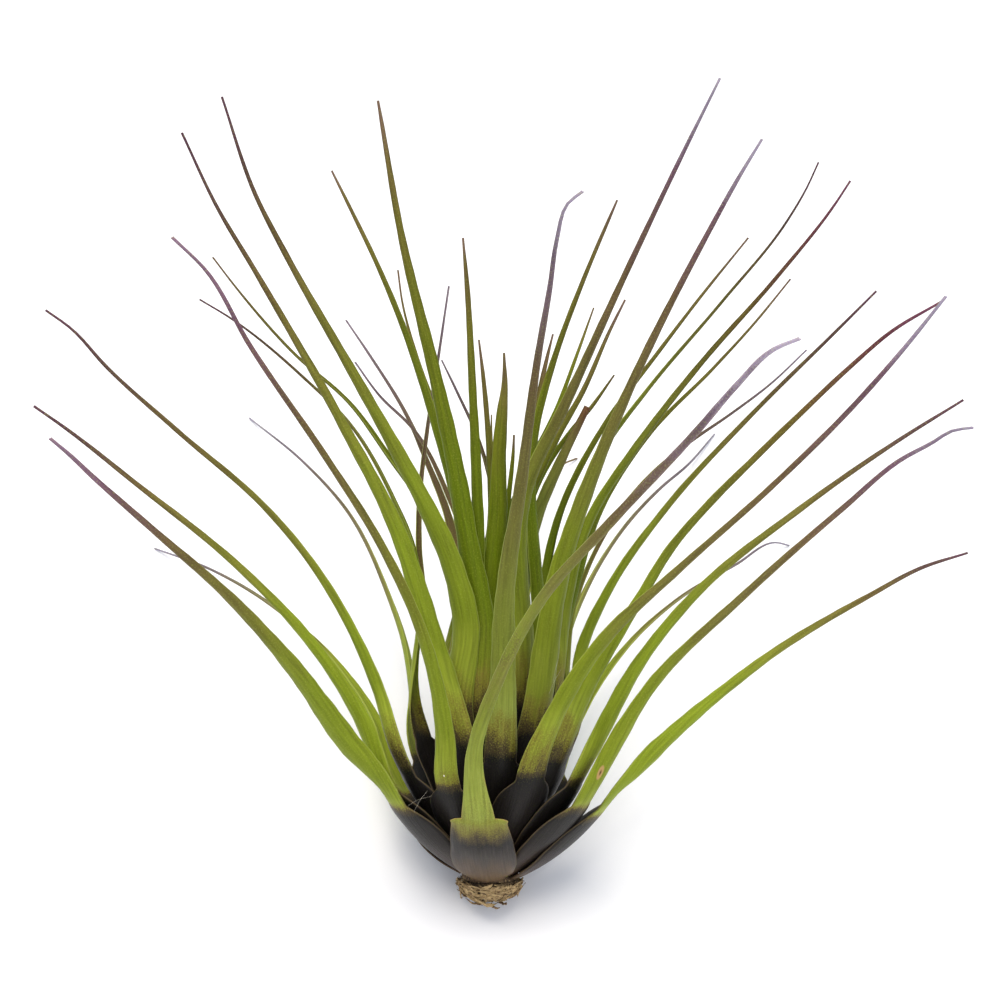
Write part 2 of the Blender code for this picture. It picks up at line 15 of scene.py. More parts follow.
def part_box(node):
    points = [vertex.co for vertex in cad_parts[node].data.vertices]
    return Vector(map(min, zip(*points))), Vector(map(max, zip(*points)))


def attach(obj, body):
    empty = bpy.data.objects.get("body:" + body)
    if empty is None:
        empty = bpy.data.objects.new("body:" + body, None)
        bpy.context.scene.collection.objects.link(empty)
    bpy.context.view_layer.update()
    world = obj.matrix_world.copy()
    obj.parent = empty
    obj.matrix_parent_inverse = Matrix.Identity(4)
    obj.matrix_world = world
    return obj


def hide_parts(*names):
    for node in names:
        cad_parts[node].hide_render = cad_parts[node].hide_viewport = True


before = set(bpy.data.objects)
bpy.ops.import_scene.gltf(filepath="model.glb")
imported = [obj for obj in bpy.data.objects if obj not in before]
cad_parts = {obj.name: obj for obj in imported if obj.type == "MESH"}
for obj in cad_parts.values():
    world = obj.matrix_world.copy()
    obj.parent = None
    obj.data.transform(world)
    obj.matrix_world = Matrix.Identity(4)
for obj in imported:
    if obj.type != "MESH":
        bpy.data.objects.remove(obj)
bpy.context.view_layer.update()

bl_info = {
    "name": "Tillandsia Air Plant",
    "version": (1, 0, 0),
    "blender": (4, 5, 0),
    "location": "3D View > Sidebar > Air Plant",
    "description": "Models a bare air plant leaf by leaf, with its dry root stub and a plain white stage",
    "category": "Add Mesh",
}

MM = 0.001

# How the plant lies: tipped back from upright, until the rear leaf tips touch the table
TIP_BACK = math.radians(40)

# The photograph that the leaf paths were read from
PHOTO_CENTRE = (500, 500)
PHOTO_WIDTH = 1000
PHOTO_SCALE = 0.29 * MM
VIEW_DISTANCE = 450 * MM
CENTRE_ACROSS = 2.9 * MM
CENTRE_UP = 114.5 * MM

# Nested leaf sheaths: the value for the outermost layer and the one for the innermost layer, and then
# the widest half of a sheath as a share of the radius that it wraps
LAYERS = 17
FOOT_RADIUS = (8.5 * MM, 2.5 * MM)
FOOT_HEIGHT = (6.4 * MM, 31.3 * MM)
SHEATH_LENGTH = (35.5 * MM, 39 * MM)
SHEATH_LEAN = (math.radians(48.5), math.radians(3))
SHEATH_BOW = (math.radians(15), math.radians(2))
SHEATH_MAX_WRAP = 0.84

# Half width of the sheaths at some layers. The front leaf's sheath is narrower than its neighbours.
SHEATH_HALF_WIDTHS = ((0, 11.8 * MM), (3, 9.4 * MM), (17, 6.4 * MM))
NARROW_SHEATHS = {"leaf_front_lowest": 9.9 * MM}

# Across, a sheath is curved more tightly than the layer it lies on: the share by which its radius is less,
# for most sheaths and for the front leaf's, and between which shares of its length this sets in
SHEATH_CUP = 0.48
SHOULDERED_CUP = 0.6
CUP_DONE = (0.1, 0.7)

# Sheath outline: half width as a share of the widest, at shares of the sheath's length. The front leaf's
# sheath ends in two short shoulders instead of running out into the blade.
SHEATH_OUTLINE = ((0.0, 0.42), (0.2, 0.76), (0.45, 1.0), (0.68, 0.97), (0.8, 0.86), (0.9, 0.52), (1.0, 0.0))
SHOULDERED_OUTLINE = (
    (0.0, 0.2), (0.08, 0.5), (0.2, 0.8), (0.35, 0.95), (0.5, 1.0), (0.7, 0.97), (0.84, 0.86), (0.91, 0.8),
    (0.95, 0.85), (0.97, 0.5), (1.0, 0.0))
SHOULDERED = ("leaf_front_lowest",)
OUTLINE_SOFTENING = (-0.035, 0.0, 0.035)
SHOULDER_SOFTENING = (-0.006, 0.0, 0.006)

# Blade: how far its channel closes at the sheath and at the tip, in radians of arc to each side; where the
# sheath opens into it, as shares of the sheath's length; the share of the blade over which it rolls; its
# least half width; how its depth bends; how thin its tip and margins are; and points on a span of its curve
CHANNEL = (0.75, 1.35)
SHEATH_OPENS = (0.75, 1.3)
ROLL_DONE = 0.14
TIP_HALF_WIDTH = 0.3 * MM
RECURVE = 1.2
TIP_THICKNESS_SHARE = 0.45
MARGIN_THICKNESS_SHARE = 0.4
SAMPLES_PER_SPAN = 24

# Blade outlines: width as a share of the width just above the sheath, at shares of the blade's length.
# Slender ones narrow fast and then run on thin, pinched ones even faster, and lean ones later. Even ones
# taper steadily, and broad ones keep their width. Long, pointed and torn ones differ in how they end.
TAPERS = {
    "slender": ((0, 1), (0.1, 0.7), (0.2, 0.53), (0.3, 0.42), (0.4, 0.35), (0.5, 0.29), (0.7, 0.2),
                (0.9, 0.12), (1, 0.05)),
    "pinched": ((0, 1), (0.05, 0.64), (0.12, 0.43), (0.17, 0.36), (0.27, 0.33), (0.6, 0.25), (0.8, 0.17),
                (0.95, 0.1), (1, 0.05)),
    "lean": ((0, 1), (0.1, 0.68), (0.2, 0.56), (0.3, 0.46), (0.36, 0.35), (0.45, 0.24), (0.6, 0.19),
             (0.8, 0.16), (0.92, 0.12), (1, 0.05)),
    "even": ((0, 1), (0.15, 0.78), (0.3, 0.6), (0.4, 0.48), (0.5, 0.37), (0.6, 0.28), (0.7, 0.215),
             (0.8, 0.165), (0.9, 0.13), (1, 0.05)),
    "long": ((0, 1), (0.2, 0.72), (0.35, 0.52), (0.5, 0.35), (0.65, 0.24), (0.8, 0.155), (0.9, 0.1),
             (1, 0.05)),
    "broad": ((0, 1), (0.2, 0.73), (0.4, 0.54), (0.55, 0.42), (0.75, 0.26), (0.85, 0.21), (0.95, 0.15),
              (1, 0.06)),
    "short": ((0, 1), (0.2, 0.8), (0.4, 0.59), (0.65, 0.42), (0.8, 0.34), (0.9, 0.26), (1, 0.08)),
    "pointed": ((0, 1), (0.3, 0.85), (0.6, 0.64), (0.8, 0.46), (0.88, 0.3), (0.95, 0.14), (1, 0.06)),
    "torn": ((0, 1), (0.3, 0.8), (0.6, 0.6), (0.85, 0.45), (1, 0.32)),
}
TAPER_SOFTENING = (-0.02, -0.01, 0.0, 0.01, 0.02)

# Growth isn't even: a blade's edges swell and narrow a little along it
SWELL_SHARE = 0.03
SWELL_FROM = 0.15
SWELL_LENGTHS = (23 * MM, 9 * MM)

# Pale margins: their width, and the most of the half width that they take
MARGIN_WIDTH = 0.4 * MM
MARGIN_SHARE = 0.16

# Where a leaf's colours lie. On the sheath, shares of its length counted back from its top, and how far
# before the change to green the charcoal lies; then shares of the stretch over which it turns green; then
# a share of the green part and shares of what is left beyond it; the last is a share of the blade.
LOW_SHEATH_AT = -0.82
SHEATH_AT = -0.5
CHARCOAL_BEFORE = 0.06
BRONZE_AT = 0.15
OLIVE_AT = 0.5
LOW_GREEN_AT = 1.1
GREEN_AT = 2.2
GREEN_UNTIL = 0.6
BROWN_AT = 0.45
TIP_AT = 0.75
END_AT = 0.985

# The same for a leaf's margin, on a scale that runs from 0 at the foot over 0.5 at the sheath's top to 1:
# papery margin, tooth and blade edge each from one point to another, and where the tip's colour is reached
PAPER_SPAN = (0.15, 0.4)
TOOTH_SPAN = (0.46, 0.49)
EDGE_SPAN = (0.52, 0.7)
RIM_TIP_AT = 0.9

# Where the scurf starts, the surface turns matt and the shine fades, as shares from sheath to blade
SCURF_STARTS = (-0.1, 0.05)
SHEATH_SCURF = 0.1
MATT_FROM = (-0.1, 0.15)
SHINE_FADES = (-0.1, 0.05)

# Living tissue: height of the scurf beside the veins, strength of the relief, and how light bends at the
# surface, spreads in the sheen and passes through
SCURF_HEIGHT = 0.5
LEAF_RELIEF_STRENGTH = 0.7
LEAF_IOR = 1.42
SHEEN_ROUGHNESS = 0.4
GLOW_COLOURS = (0.5, 1.0, 0.15)
GLOW_REACH = 0.9 * MM

# Dead tissue: most that is worn pale or cracked dark, height and strength of its relief
MOST_WORN = 0.6
MOST_CRACKED = 0.5
DRY_RELIEF = 0.25 * MM
DRY_RELIEF_STRENGTH = 0.8
DRY_IOR = 1.45

# Parts of a pattern's range, which runs from 0 to 1 and mostly lies between the first two
PATTERN_MOST = (0.3, 0.7)
STREAK_STOPS = (0.3, 0.52, 0.72)
HIGH_SPOTS = (0.5, 0.75)
SCURF_RISES = (0.4, 0.8)
FIBRE_STOPS = (0.32, 0.52, 0.72)
CRACK_SPOTS = (0.2, 0.42)
HAIR_STOPS = (0.35, 0.6)

# A mark's middle ends and its rim begins at these shares of its reach, and the rim fades out between these
MARK_STOPS = (0.12, 0.45)
MARK_FADES = (0.75, 1.0)

# Roughness of the small and large plain surfaces, and how the table drifts in tone and reflects
HAIR_ROUGHNESS = 0.6
TABLE_ROUGHNESS = 0.9
TABLE_SHINE = 0.1
TABLE_DARKEST = 0.985

# Patterns of living and dead tissue: how far apart their features lie across, along and through, how
# many finer levels they have and how strong those are
VEINS = ((0.55 * MM, 16 * MM, 1 * MM), 3.0, 0.55)
TONE_CLOUDS = ((4 * MM, 11 * MM, 1 * MM), 3.0, 0.55)
SCURF_SCALES = ((0.3 * MM, 0.5 * MM, 1 * MM), 2.0, 0.55)
CRUMBS = ((0.5 * MM, 0.5 * MM, 0.5 * MM), 3.0, 0.55)
FIBRE_DETAIL = (5.0, 0.6)
HAIR_STRETCHES = ((2 * MM, 2 * MM, 2 * MM), 3.0, 0.55)
TABLE_DRIFT = ((90 * MM, 90 * MM, 90 * MM), 3.0, 0.55)

# From these layers inwards the leaves are as dark as they get, and turn green only above the sheath
DARKEST_LAYER = 10
LOW_CHANGE_LAYER = 4

# How far apart the fibres of dead tissue lie along each axis, and how rough it is
STEM_WOOD = ((0.5 * MM, 0.5 * MM, 4 * MM), 0.85)
STUB_BARK = ((2.4 * MM, 2.4 * MM, 0.6 * MM), 0.9)
SCALE_PAPER = ((2.6 * MM, 2.6 * MM, 0.5 * MM), 0.75)
FLAKE_PAPER = ((1.8 * MM, 1.8 * MM, 0.5 * MM), 0.8)
ROOT_WIRE = ((1.2 * MM, 1.2 * MM, 1.2 * MM), 0.8)
ROOT_FIBRE = ((0.9 * MM, 0.9 * MM, 0.9 * MM), 0.85)

# Stem and root stub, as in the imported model
STEM_PROFILE = (
    (0.0, 32.8 * MM), (2.2 * MM, 31.3 * MM), (8.2 * MM, 6.4 * MM), (8.2 * MM, 5.3 * MM), (0.0, 5.3 * MM))
STUB_TOP = 5.0 * MM
STUB_BOTTOM = 0.2 * MM
STUB_RADIUS = 9.2 * MM
STUB_RIM = 7.6 * MM
STUB_HOLLOW = 0.9 * MM
GAP = 0.3 * MM

# Dry remains of old leaf bases around the stub, and the dead roots under it
SCALE_AZIMUTHS = (-88, -43, 1, 44, 90)
SCALE_HALF_WRAP = math.radians(19)
SCALE_HEIGHT = (-0.2 * MM, 5.0 * MM)
SCALE_FLARE = 0.5 * MM
ROOTS = ((-66, 1.5), (-30, -2.0), (4, 2.2), (36, -1.6), (70, 2.0))
ROOT_REACH = (4.5 * MM, 10.2 * MM)
ROOT_HEIGHT = -1.3 * MM
ROOT_SAG = 0.7 * MM

# Table level under the upright frame's origin, where the stub's rear rim touches
FLOOR = STUB_BOTTOM * math.cos(TIP_BACK) - STUB_RIM * math.sin(TIP_BACK)
TIP_CLEARANCE = 0.6 * MM

# At its front the stub has crumbled to a crescent: how far its foot is drawn up at the sides, over which
# depth this fades towards the back, and how much further what hangs below the stub is drawn up
SIDE_RISE = 3.4 * MM
CRESCENT_BACK = 3 * MM
MOST_DRAWN = 1.3

# Finer levels in the clouds that crumple a surface
CLOUD_LEVELS = 2

# The stub: rings of faces on its ends, cuts through each face, how level a face of an end lies, and the
# size of its lumps and crumbs, which stand a share as high as the lumps
STUB_RINGS = 4
STUB_CUTS = 2
END_LEVEL = 0.9
LUMP_SIZE = 2.4 * MM
STUB_CRUMB_SIZE = 0.7 * MM
STUB_CRUMB_SHARE = 1 / 3

# Dry scales: faces across and down, depth of their torn edges, how much thinner these are, and the size
# of their crumpling
SCALE_GRID = (16, 8)
SCALE_TEAR = 1.3 * MM
SCALE_THINNING = 0.6
SCALE_CRUMPLE_SIZE = 1.6 * MM
SCALE_SEED = 11

# Dead roots: points along each, how far these wander, how the radius varies, how it thins to the end and
# how finely it is rounded; then for all strands the steps between points and the weld of their ends
ROOT_KNOTS = 8
ROOT_WANDER = 0.25 * MM
ROOT_VARIES = (0.75, 1.2)
ROOT_THINNING = 0.45
ROOT_ROUNDNESS = 3
ROOT_SEED = 23
STRAND_STEPS = 4
WELD_DISTANCE = 0.01 * MM

# Loose root ends: where they start round the stub, up it and out from its axis, how they lean from
# running sideways, how long they are, and how they bend, vary, thin and are rounded
CRUMB_KNOTS = 5
CRUMB_AZIMUTHS = (-100, 100)
CRUMB_HEIGHTS = (-0.8 * MM, 3.6 * MM)
CRUMB_REACH = (0.85, 1.06)
CRUMB_LEANS = ((-0.35, 0.3), (-0.35, 0.3))
CRUMB_LENGTHS = (1.8 * MM, 5.0 * MM)
CRUMB_BEND = 0.5 * MM
CRUMB_VARIES = (0.7, 1.3)
CRUMB_THINNING = 0.5
CRUMB_ROUNDNESS = 2
CRUMB_SEED = 37

# Papery flakes: faces across and down, how they curl across and up, their height and how it narrows to
# the ends as shares of their half length, their crumpling, and where and how each copy clings
FLAKE_GRID = (8, 6)
FLAKE_CURLS = (0.45, 0.5)
FLAKE_HEIGHT = 0.45
FLAKE_NARROWING = 0.7
FLAKE_THINNING = 0.5
FLAKE_CRUMPLE_SIZE = 1.1 * MM
FLAKE_AZIMUTHS = (-115, 115)
FLAKE_HEIGHTS = (-0.9 * MM, 4.4 * MM)
FLAKE_REACH = (0.95, 1.12)
FLAKE_TILT = 0.9
FLAKE_LEAN = 0.4
FLAKE_SIZES = ((0.5, 1.3), (-0.6, 1.0), (0.5, 1.3))
FLAKE_SEED = 53

# Marks on single leaves: how far across and along the leaf each lies, how large it is across and along,
# and the colours of its middle and of its rim
SCARS = {
    "leaf_front_right_lowest": (((-1.4 * MM, 44.5 * MM), (0.8 * MM, 2.6 * MM), "#5a3f28", "#b08f5a"),),
    "leaf_front_left_2": (((0.0, 38.6 * MM), (0.2 * MM, 0.3 * MM), "#f2efe2", "#e4e0cc"),),
}

# Single hairs: how high they arch, first more and then less, how they thin and are rounded, and then for
# each one its first and last photo point and their depths towards the viewer in millimetres
HAIR_ARCH = 0.8 * MM
HAIR_SECOND_ARCH = 0.6
HAIR_THIRD = 0.33
HAIR_THINNED = 0.4
HAIR_ROUNDNESS = 1
HAIRS = (
    ((408, 806), (432, 796), (24, 27)),
    ((414, 812), (428, 790), (25, 26)),
    ((549, 694), (562, 668), (22, 21)),
    ((553, 682), (558, 660), (23, 21)),
)

# Stage: cuts through the table, the lights' places and the height on the stem that they point at, and
# the camera's sensor in millimetres and nearest view
TABLE_CUTS = 3
KEY_PLACE = (-0.12, 0.02, 1.2)
FILL_PLACE = (0.75, -0.8, 0.8)
LIT_HEIGHT = 60 * MM
SENSOR_WIDTH = 36.0
CLIP_START = 10 * MM


class Tone(NamedTuple):
    """Colours of one kind of leaf from its sheath to its tip, as sRGB hex values."""

    low: str
    green: str
    olive: str
    brown: str
    tip: str
    end: str


TONES = {
    # grown outer leaves, green, then olive and brown, with a dark purple-brown end
    "purple": Tone("#95a234", "#7f8f22", "#76782a", "#685832", "#56403c", "#5a3a4a"),
    # outer leaves whose ends fade from red-brown to violet and pale lilac
    "violet": Tone("#8a9630", "#7a8720", "#716c32", "#6d5740", "#725464", "#a297ac"),
    # outer leaves with a long pinkish mauve end
    "mauve": Tone("#8a9630", "#788620", "#6f6f28", "#695638", "#70505e", "#8a6e82"),
    # leaves that redden sharply near the end
    "wine": Tone("#8f9d34", "#7a8820", "#6d6f26", "#635028", "#62343c", "#6a3854"),
    # leaves that go olive, then brown, at the end
    "olive": Tone("#74811c", "#66780c", "#687018", "#6c6628", "#6e6034", "#785f52"),
    # young leaves in the middle, green almost to the tip
    "fresh": Tone("#6f7f0e", "#697b08", "#6c7912", "#70741e", "#756c32", "#705f44"),
    # leaves that have browned from the middle on
    "browned": Tone("#8b9640", "#79822e", "#706d32", "#655336", "#766270", "#ada0b2"),
    # ageing leaves at the back, grey-lilac for the last half
    "lilac": Tone("#8f9a3c", "#88962c", "#787238", "#706252", "#746a76", "#9690a0"),
    # oldest thin leaves, purple-brown
    "old": Tone("#7c8628", "#727820", "#6d5f34", "#675342", "#6c5c62", "#857888"),
    # a leaf torn off short, with a dry red-brown end
    "torn": Tone("#848f36", "#7c8a30", "#777d34", "#757434", "#70603a", "#6b4430"),
}


class Leaf(NamedTuple):
    """One leaf: which sheath layer it grows from, where it faces and where its blade runs.

    layer counts from the outermost sheaths inwards. azimuth is in degrees, 0 at the viewer and positive
    to the right, and roll is how far the blade has turned on from it. width is the blade's width just
    above its sheath and taper names its outline from there. tip_depth is how far its tip comes towards
    the viewer from the stem's axis, in millimetres, or None where the tip rests on the table. tone names
    the leaf's colours and turn is the share of the blade at which the green gives way. path holds the
    points of the photograph that the middle of the blade passes through, ending at the tip.
    """

    name: str
    layer: float
    azimuth: float
    roll: float
    width: float
    taper: str
    tip_depth: float
    tone: str
    turn: float
    path: tuple


LEAVES = (
    Leaf("leaf_front_lowest", 0, -5, 0, 9.4, "pinched", 155, "browned", 0.3,
         ((474, 758), (498, 680), (541, 600), (612, 521), (698, 430), (736, 386), (774, 349),
          (800, 338))),
    Leaf("leaf_right_lowest", 0, 76, -50, 9.6, "slender", -60, "purple", 0.48,
         ((637, 769), (664, 742), (700, 710), (736, 681), (772, 654), (826, 620), (867, 597), (921, 568),
          (967, 553))),
    Leaf("leaf_back_left_on_floor", 0, -126, 0, 7.0, "slender", None, "lilac", 0.48,
         ((379, 725), (344, 671), (271, 604), (207, 567), (155, 548))),
    Leaf("leaf_left_lowest", 1, -55, 45, 9.6, "even", 110, "mauve", 0.46,
         ((347, 742), (294, 669), (230, 598), (159, 535), (127, 507), (91, 475), (70, 455), (50, 438))),
    Leaf("leaf_front_right_lowest", 1, 54, -25, 9.6, "slender", 95, "violet", 0.42,
         ((609, 755), (650, 688), (742, 597), (844, 507), (903, 458), (931, 443), (953, 430),
          (973, 427))),
    Leaf("leaf_back_right_on_floor", 1, 142, 0, 6.2, "slender", None, "lilac", 0.45,
         ((624, 649), (679, 598), (736, 564), (777, 542), (789, 545))),
    Leaf("leaf_left_2", 2, -62, 41, 9.0, "slender", 35, "purple", 0.52,
         ((360, 716), (303, 633), (239, 567), (134, 482), (64, 427), (34, 406))),
    Leaf("leaf_back_on_floor", 2, 178, 0, 6.5, "slender", None, "olive", 0.6,
         ((526, 600), (544, 500), (563, 464), (577, 458))),
    Leaf("leaf_front_left_2", 3, -22, 8, 7.4, "slender", 100, "mauve", 0.36,
         ((445, 740), (424, 639), (381, 545), (325, 456), (249, 344), (204, 268), (172, 237))),
    Leaf("leaf_right_2", 3, 56, -28, 9.4, "slender", 10, "purple", 0.48,
         ((600, 736), (639, 664), (692, 598), (803, 507), (899, 440), (963, 400))),
    Leaf("leaf_back_left_2", 3, -135, 40, 7.4, "even", None, "lilac", 0.36,
         ((413, 689), (406, 645), (388, 591), (353, 518), (304, 462), (250, 418))),
    Leaf("leaf_front_right_2", 4, 24, -6, 9.0, "lean", 100, "violet", 0.36,
         ((552, 722), (605, 639), (679, 569), (770, 488), (857, 402), (906, 346), (946, 296))),
    Leaf("leaf_left_3", 4, -58, 8, 9.6, "slender", 20, "purple", 0.4,
         ((377, 687), (348, 622), (303, 551), (266, 508), (178, 431), (106, 366), (71, 328), (46, 310))),
    Leaf("leaf_back_right_2", 4, 150, -45, 7.4, "broad", None, "lilac", 0.38,
         ((554, 681), (573, 617), (622, 529), (661, 487), (687, 465), (714, 434))),
    Leaf("leaf_right_3", 5, 45, -10, 9.8, "slender", 35, "wine", 0.48,
         ((587, 689), (612, 645), (641, 597), (672, 547), (711, 502), (754, 459), (797, 417), (851, 366),
          (892, 331), (942, 301))),
    Leaf("leaf_back_left_3", 5, -165, 0, 7.2, "even", -135, "old", 0.32,
         ((446, 510), (427, 462), (411, 424), (367, 351), (346, 320))),
    Leaf("leaf_front_upright", 6, 7, 0, 9.2, "long", 115, "browned", 0.42,
         ((503, 680), (505, 600), (522, 478), (538, 357), (550, 287), (557, 239), (568, 203),
          (583, 191))),
    Leaf("leaf_left_5", 6, -125, 30, 7.8, "slender", -25, "purple", 0.5,
         ((420, 575), (412, 540), (395, 500), (351, 424), (303, 376), (230, 317), (200, 299))),
    Leaf("leaf_right_4", 6, 108, -60, 9.4, "slender", 5, "purple", 0.48,
         ((582, 650), (608, 591), (666, 508), (750, 416), (836, 331), (876, 291))),
    Leaf("leaf_left_4", 7, -20, 15, 8.8, "long", 25, "purple", 0.52,
         ((446, 687), (431, 636), (399, 535), (338, 416), (255, 271), (217, 207), (182, 133))),
    Leaf("leaf_back_left_6", 7, -146, 0, 6.0, "slender", -62, "old", 0.3,
         ((424, 600), (419, 550), (419, 512), (428, 424), (438, 360), (449, 286))),
    Leaf("leaf_right_7", 8, 34, -10, 10.8, "even", 60, "violet", 0.5,
         ((564, 559), (592, 478), (637, 373), (706, 237), (742, 172), (762, 139))),
    Leaf("leaf_back_left_4", 8, 172, 0, 6.2, "slender", -120, "old", 0.32,
         ((450, 500), (414, 430), (379, 395), (355, 362))),
    Leaf("leaf_front_left_3", 10, -10, 0, 10.0, "broad", 0, "olive", 0.6,
         ((481, 620), (469, 550), (456, 472), (436, 380), (402, 239), (378, 101))),
    Leaf("leaf_right_6", 9, 125, -55, 8.0, "even", -35, "olive", 0.45,
         ((572, 600), (600, 510), (648, 435), (714, 367), (755, 322), (790, 279))),
    Leaf("leaf_left_7", 9, -26, 8, 10.4, "long", 20, "purple", 0.56,
         ((465, 620), (452, 566), (424, 503), (391, 441), (351, 370), (287, 257), (255, 194), (222, 97))),
    Leaf("leaf_right_5", 10, 92, -52, 9.0, "slender", -5, "wine", 0.52,
         ((567, 600), (590, 520), (637, 446), (698, 367), (777, 277), (835, 204), (850, 181))),
    Leaf("leaf_back_2", 10, -150, 0, 6.2, "slender", -95, "olive", 0.6,
         ((462, 500), (440, 420), (420, 365), (402, 300), (398, 270))),
    Leaf("leaf_front_right_3", 11, 32, -5, 9.4, "even", 60, "violet", 0.45,
         ((529, 481), (564, 408), (627, 271), (688, 143), (720, 78))),
    Leaf("leaf_right_8", 11, 132, -48, 8.8, "even", 10, "purple", 0.6,
         ((560, 560), (605, 446), (647, 389), (720, 303), (787, 220), (806, 188), (818, 162))),
    Leaf("leaf_back_left_5", 11, -130, 75, 9.6, "broad", -45, "olive", 0.66,
         ((468, 560), (450, 478), (434, 421), (406, 335), (376, 262), (354, 216), (332, 171))),
    Leaf("leaf_front_right_4", 12, 62, -10, 8.8, "broad", 20, "olive", 0.58,
         ((538, 418), (557, 351), (583, 281), (617, 200))),
    Leaf("leaf_centre_3", 12, -140, 20, 6.2, "broad", -30, "old", 0.5,
         ((492, 490), (481, 446), (456, 389), (442, 360))),
    Leaf("leaf_centre_1", 13, -15, 0, 6.4, "short", 6, "olive", 0.66,
         ((477, 500), (472, 383), (467, 287), (463, 238))),
    Leaf("leaf_right_9", 13, 105, -58, 7.8, "slender", -30, "olive", 0.42,
         ((565, 500), (601, 431), (660, 350), (702, 295), (735, 254), (748, 238))),
    Leaf("leaf_left_6", 13, -125, 14, 7.6, "even", -10, "olive", 0.56,
         ((458, 600), (441, 548), (422, 503), (391, 459), (351, 404), (293, 352), (236, 287),
          (213, 257))),
    Leaf("leaf_centre_2", 15, -65, 20, 6.2, "short", -18, "olive", 0.5,
         ((491, 520), (489, 453), (483, 376), (479, 340))),
    Leaf("leaf_right_11", 7, 124, -45, 6.6, "slender", -75, "old", 0.34,
         ((575, 600), (612, 521), (655, 470), (688, 443), (730, 414), (771, 383), (806, 350))),
    Leaf("leaf_centre_4", 14, -112, 20, 5.4, "short", -25, "fresh", 0.66,
         ((494, 500), (493, 460), (492, 435), (492, 415))),
    Leaf("leaf_right_cut_tip", 15, 55, -25, 8.0, "torn", 8, "torn", 0.6,
         ((540, 510), (561, 462), (573, 437), (588, 407))),
    Leaf("leaf_centre_5", 14, -5, 30, 9.6, "pointed", 3, "fresh", 0.56,
         ((499, 510), (500, 456), (503, 410), (505, 385), (504, 353))),
    Leaf("leaf_right_10", 16, 0, 0, 6.4, "broad", -12, "olive", 0.45,
         ((555, 440), (582, 393), (611, 328), (625, 300))),
    Leaf("leaf_back_right_3", 15, 175, 0, 5.8, "short", -52, "olive", 0.45,
         ((525, 470), (540, 390), (548, 354), (553, 334))),
    Leaf("leaf_right_13", 16, 115, -50, 6.8, "short", -16, "fresh", 0.6,
         ((545, 470), (572, 430), (590, 409), (614, 375))),
    Leaf("leaf_right_12", 16, -125, 55, 6.2, "short", -15, "fresh", 0.7,
         ((532, 460), (557, 408), (577, 355), (594, 308))),
    Leaf("leaf_centre_6", 17, -30, 20, 4.6, "short", -8, "fresh", 0.75,
         ((508, 500), (511, 475), (513, 455), (514, 435))),
)


def linear(hex_colour):
    """An sRGB hex colour as linear red, green and blue."""
    channels = [int(hex_colour[i:i + 2], 16) / 255 for i in (1, 3, 5)]
    return tuple(c / 12.92 if c <= 0.04045 else ((c + 0.055) / 1.055) ** 2.4 for c in channels)


def opaque(colour):
    """A linear colour with full alpha, for a socket."""
    return (colour[0], colour[1], colour[2], 1.0)


def between(pair, share):
    """The value at a share of the way from the first of a pair to the second."""
    return pair[0] + (pair[1] - pair[0]) * share


def smooth(low, high, value):
    """0 below low, 1 above high, and an even S-shaped step between them."""
    share = np.clip((value - low) / (high - low), 0.0, 1.0)
    return share * share * (3 - 2 * share)


def photo_point(pixel, depth):
    """The point of the plant's frame that the photograph shows at a pixel, at a depth from the axis."""
    scale = PHOTO_SCALE * (VIEW_DISTANCE - depth) / VIEW_DISTANCE
    across = CENTRE_ACROSS + (pixel[0] - PHOTO_CENTRE[0]) * scale
    up = CENTRE_UP + (PHOTO_CENTRE[1] - pixel[1]) * scale
    return np.array((across, -depth, up))


def photo_pixel(point):
    """The pixel at which the photograph shows a point of the plant's frame."""
    scale = PHOTO_SCALE * (VIEW_DISTANCE + point[1]) / VIEW_DISTANCE
    right = (point[0] - CENTRE_ACROSS) / scale
    down = (CENTRE_UP - point[2]) / scale
    return np.array((PHOTO_CENTRE[0] + right, PHOTO_CENTRE[1] + down))


def depth_on_floor(pixel):
    """The depth at which the line of sight through a pixel meets the table."""
    rise = (PHOTO_CENTRE[1] - pixel[1]) * PHOTO_SCALE
    level = FLOOR + TIP_CLEARANCE - math.cos(TIP_BACK) * (CENTRE_UP + rise)
    return level / (math.sin(TIP_BACK) - math.cos(TIP_BACK) * rise / VIEW_DISTANCE)


def plant_place():
    """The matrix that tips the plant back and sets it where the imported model's stem lies."""
    low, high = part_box("stem")
    sine, cosine = math.sin(TIP_BACK), math.cos(TIP_BACK)
    nearest = min(height * sine - radius * cosine for radius, height in STEM_PROFILE)
    lowest = min(height * cosine - radius * sine for radius, height in STEM_PROFILE)
    place = Vector(((low[0] + high[0]) / 2, low[1] - nearest, low[2] - lowest))
    return Matrix.Translation(place) @ Matrix.Rotation(-TIP_BACK, 4, "X")


PLANT = plant_place()


def sheath_length(leaf):
    """Length of a leaf's sheath along its middle."""
    return between(SHEATH_LENGTH, leaf.layer / LAYERS)


def sheath_middle(leaf, distance):
    """Radius and height above the leaf's foot of the sheath's middle line, at a distance along it."""
    share = leaf.layer / LAYERS
    lean = between(SHEATH_LEAN, share) + between(SHEATH_BOW, share) * (1 - distance / sheath_length(leaf))
    radius = between(FOOT_RADIUS, share) + distance * np.sin(lean)
    return radius, distance * np.cos(lean)


def foot_height(leaf):
    """Height on the stem of a leaf's foot."""
    return between(FOOT_HEIGHT, leaf.layer / LAYERS)


def turned_about_stem(points, degrees):
    """Points turned about the stem's axis."""
    angle = math.radians(degrees)
    turn = np.array(
        ((math.cos(angle), math.sin(angle), 0), (-math.sin(angle), math.cos(angle), 0), (0, 0, 1)))
    return np.asarray(points) @ turn


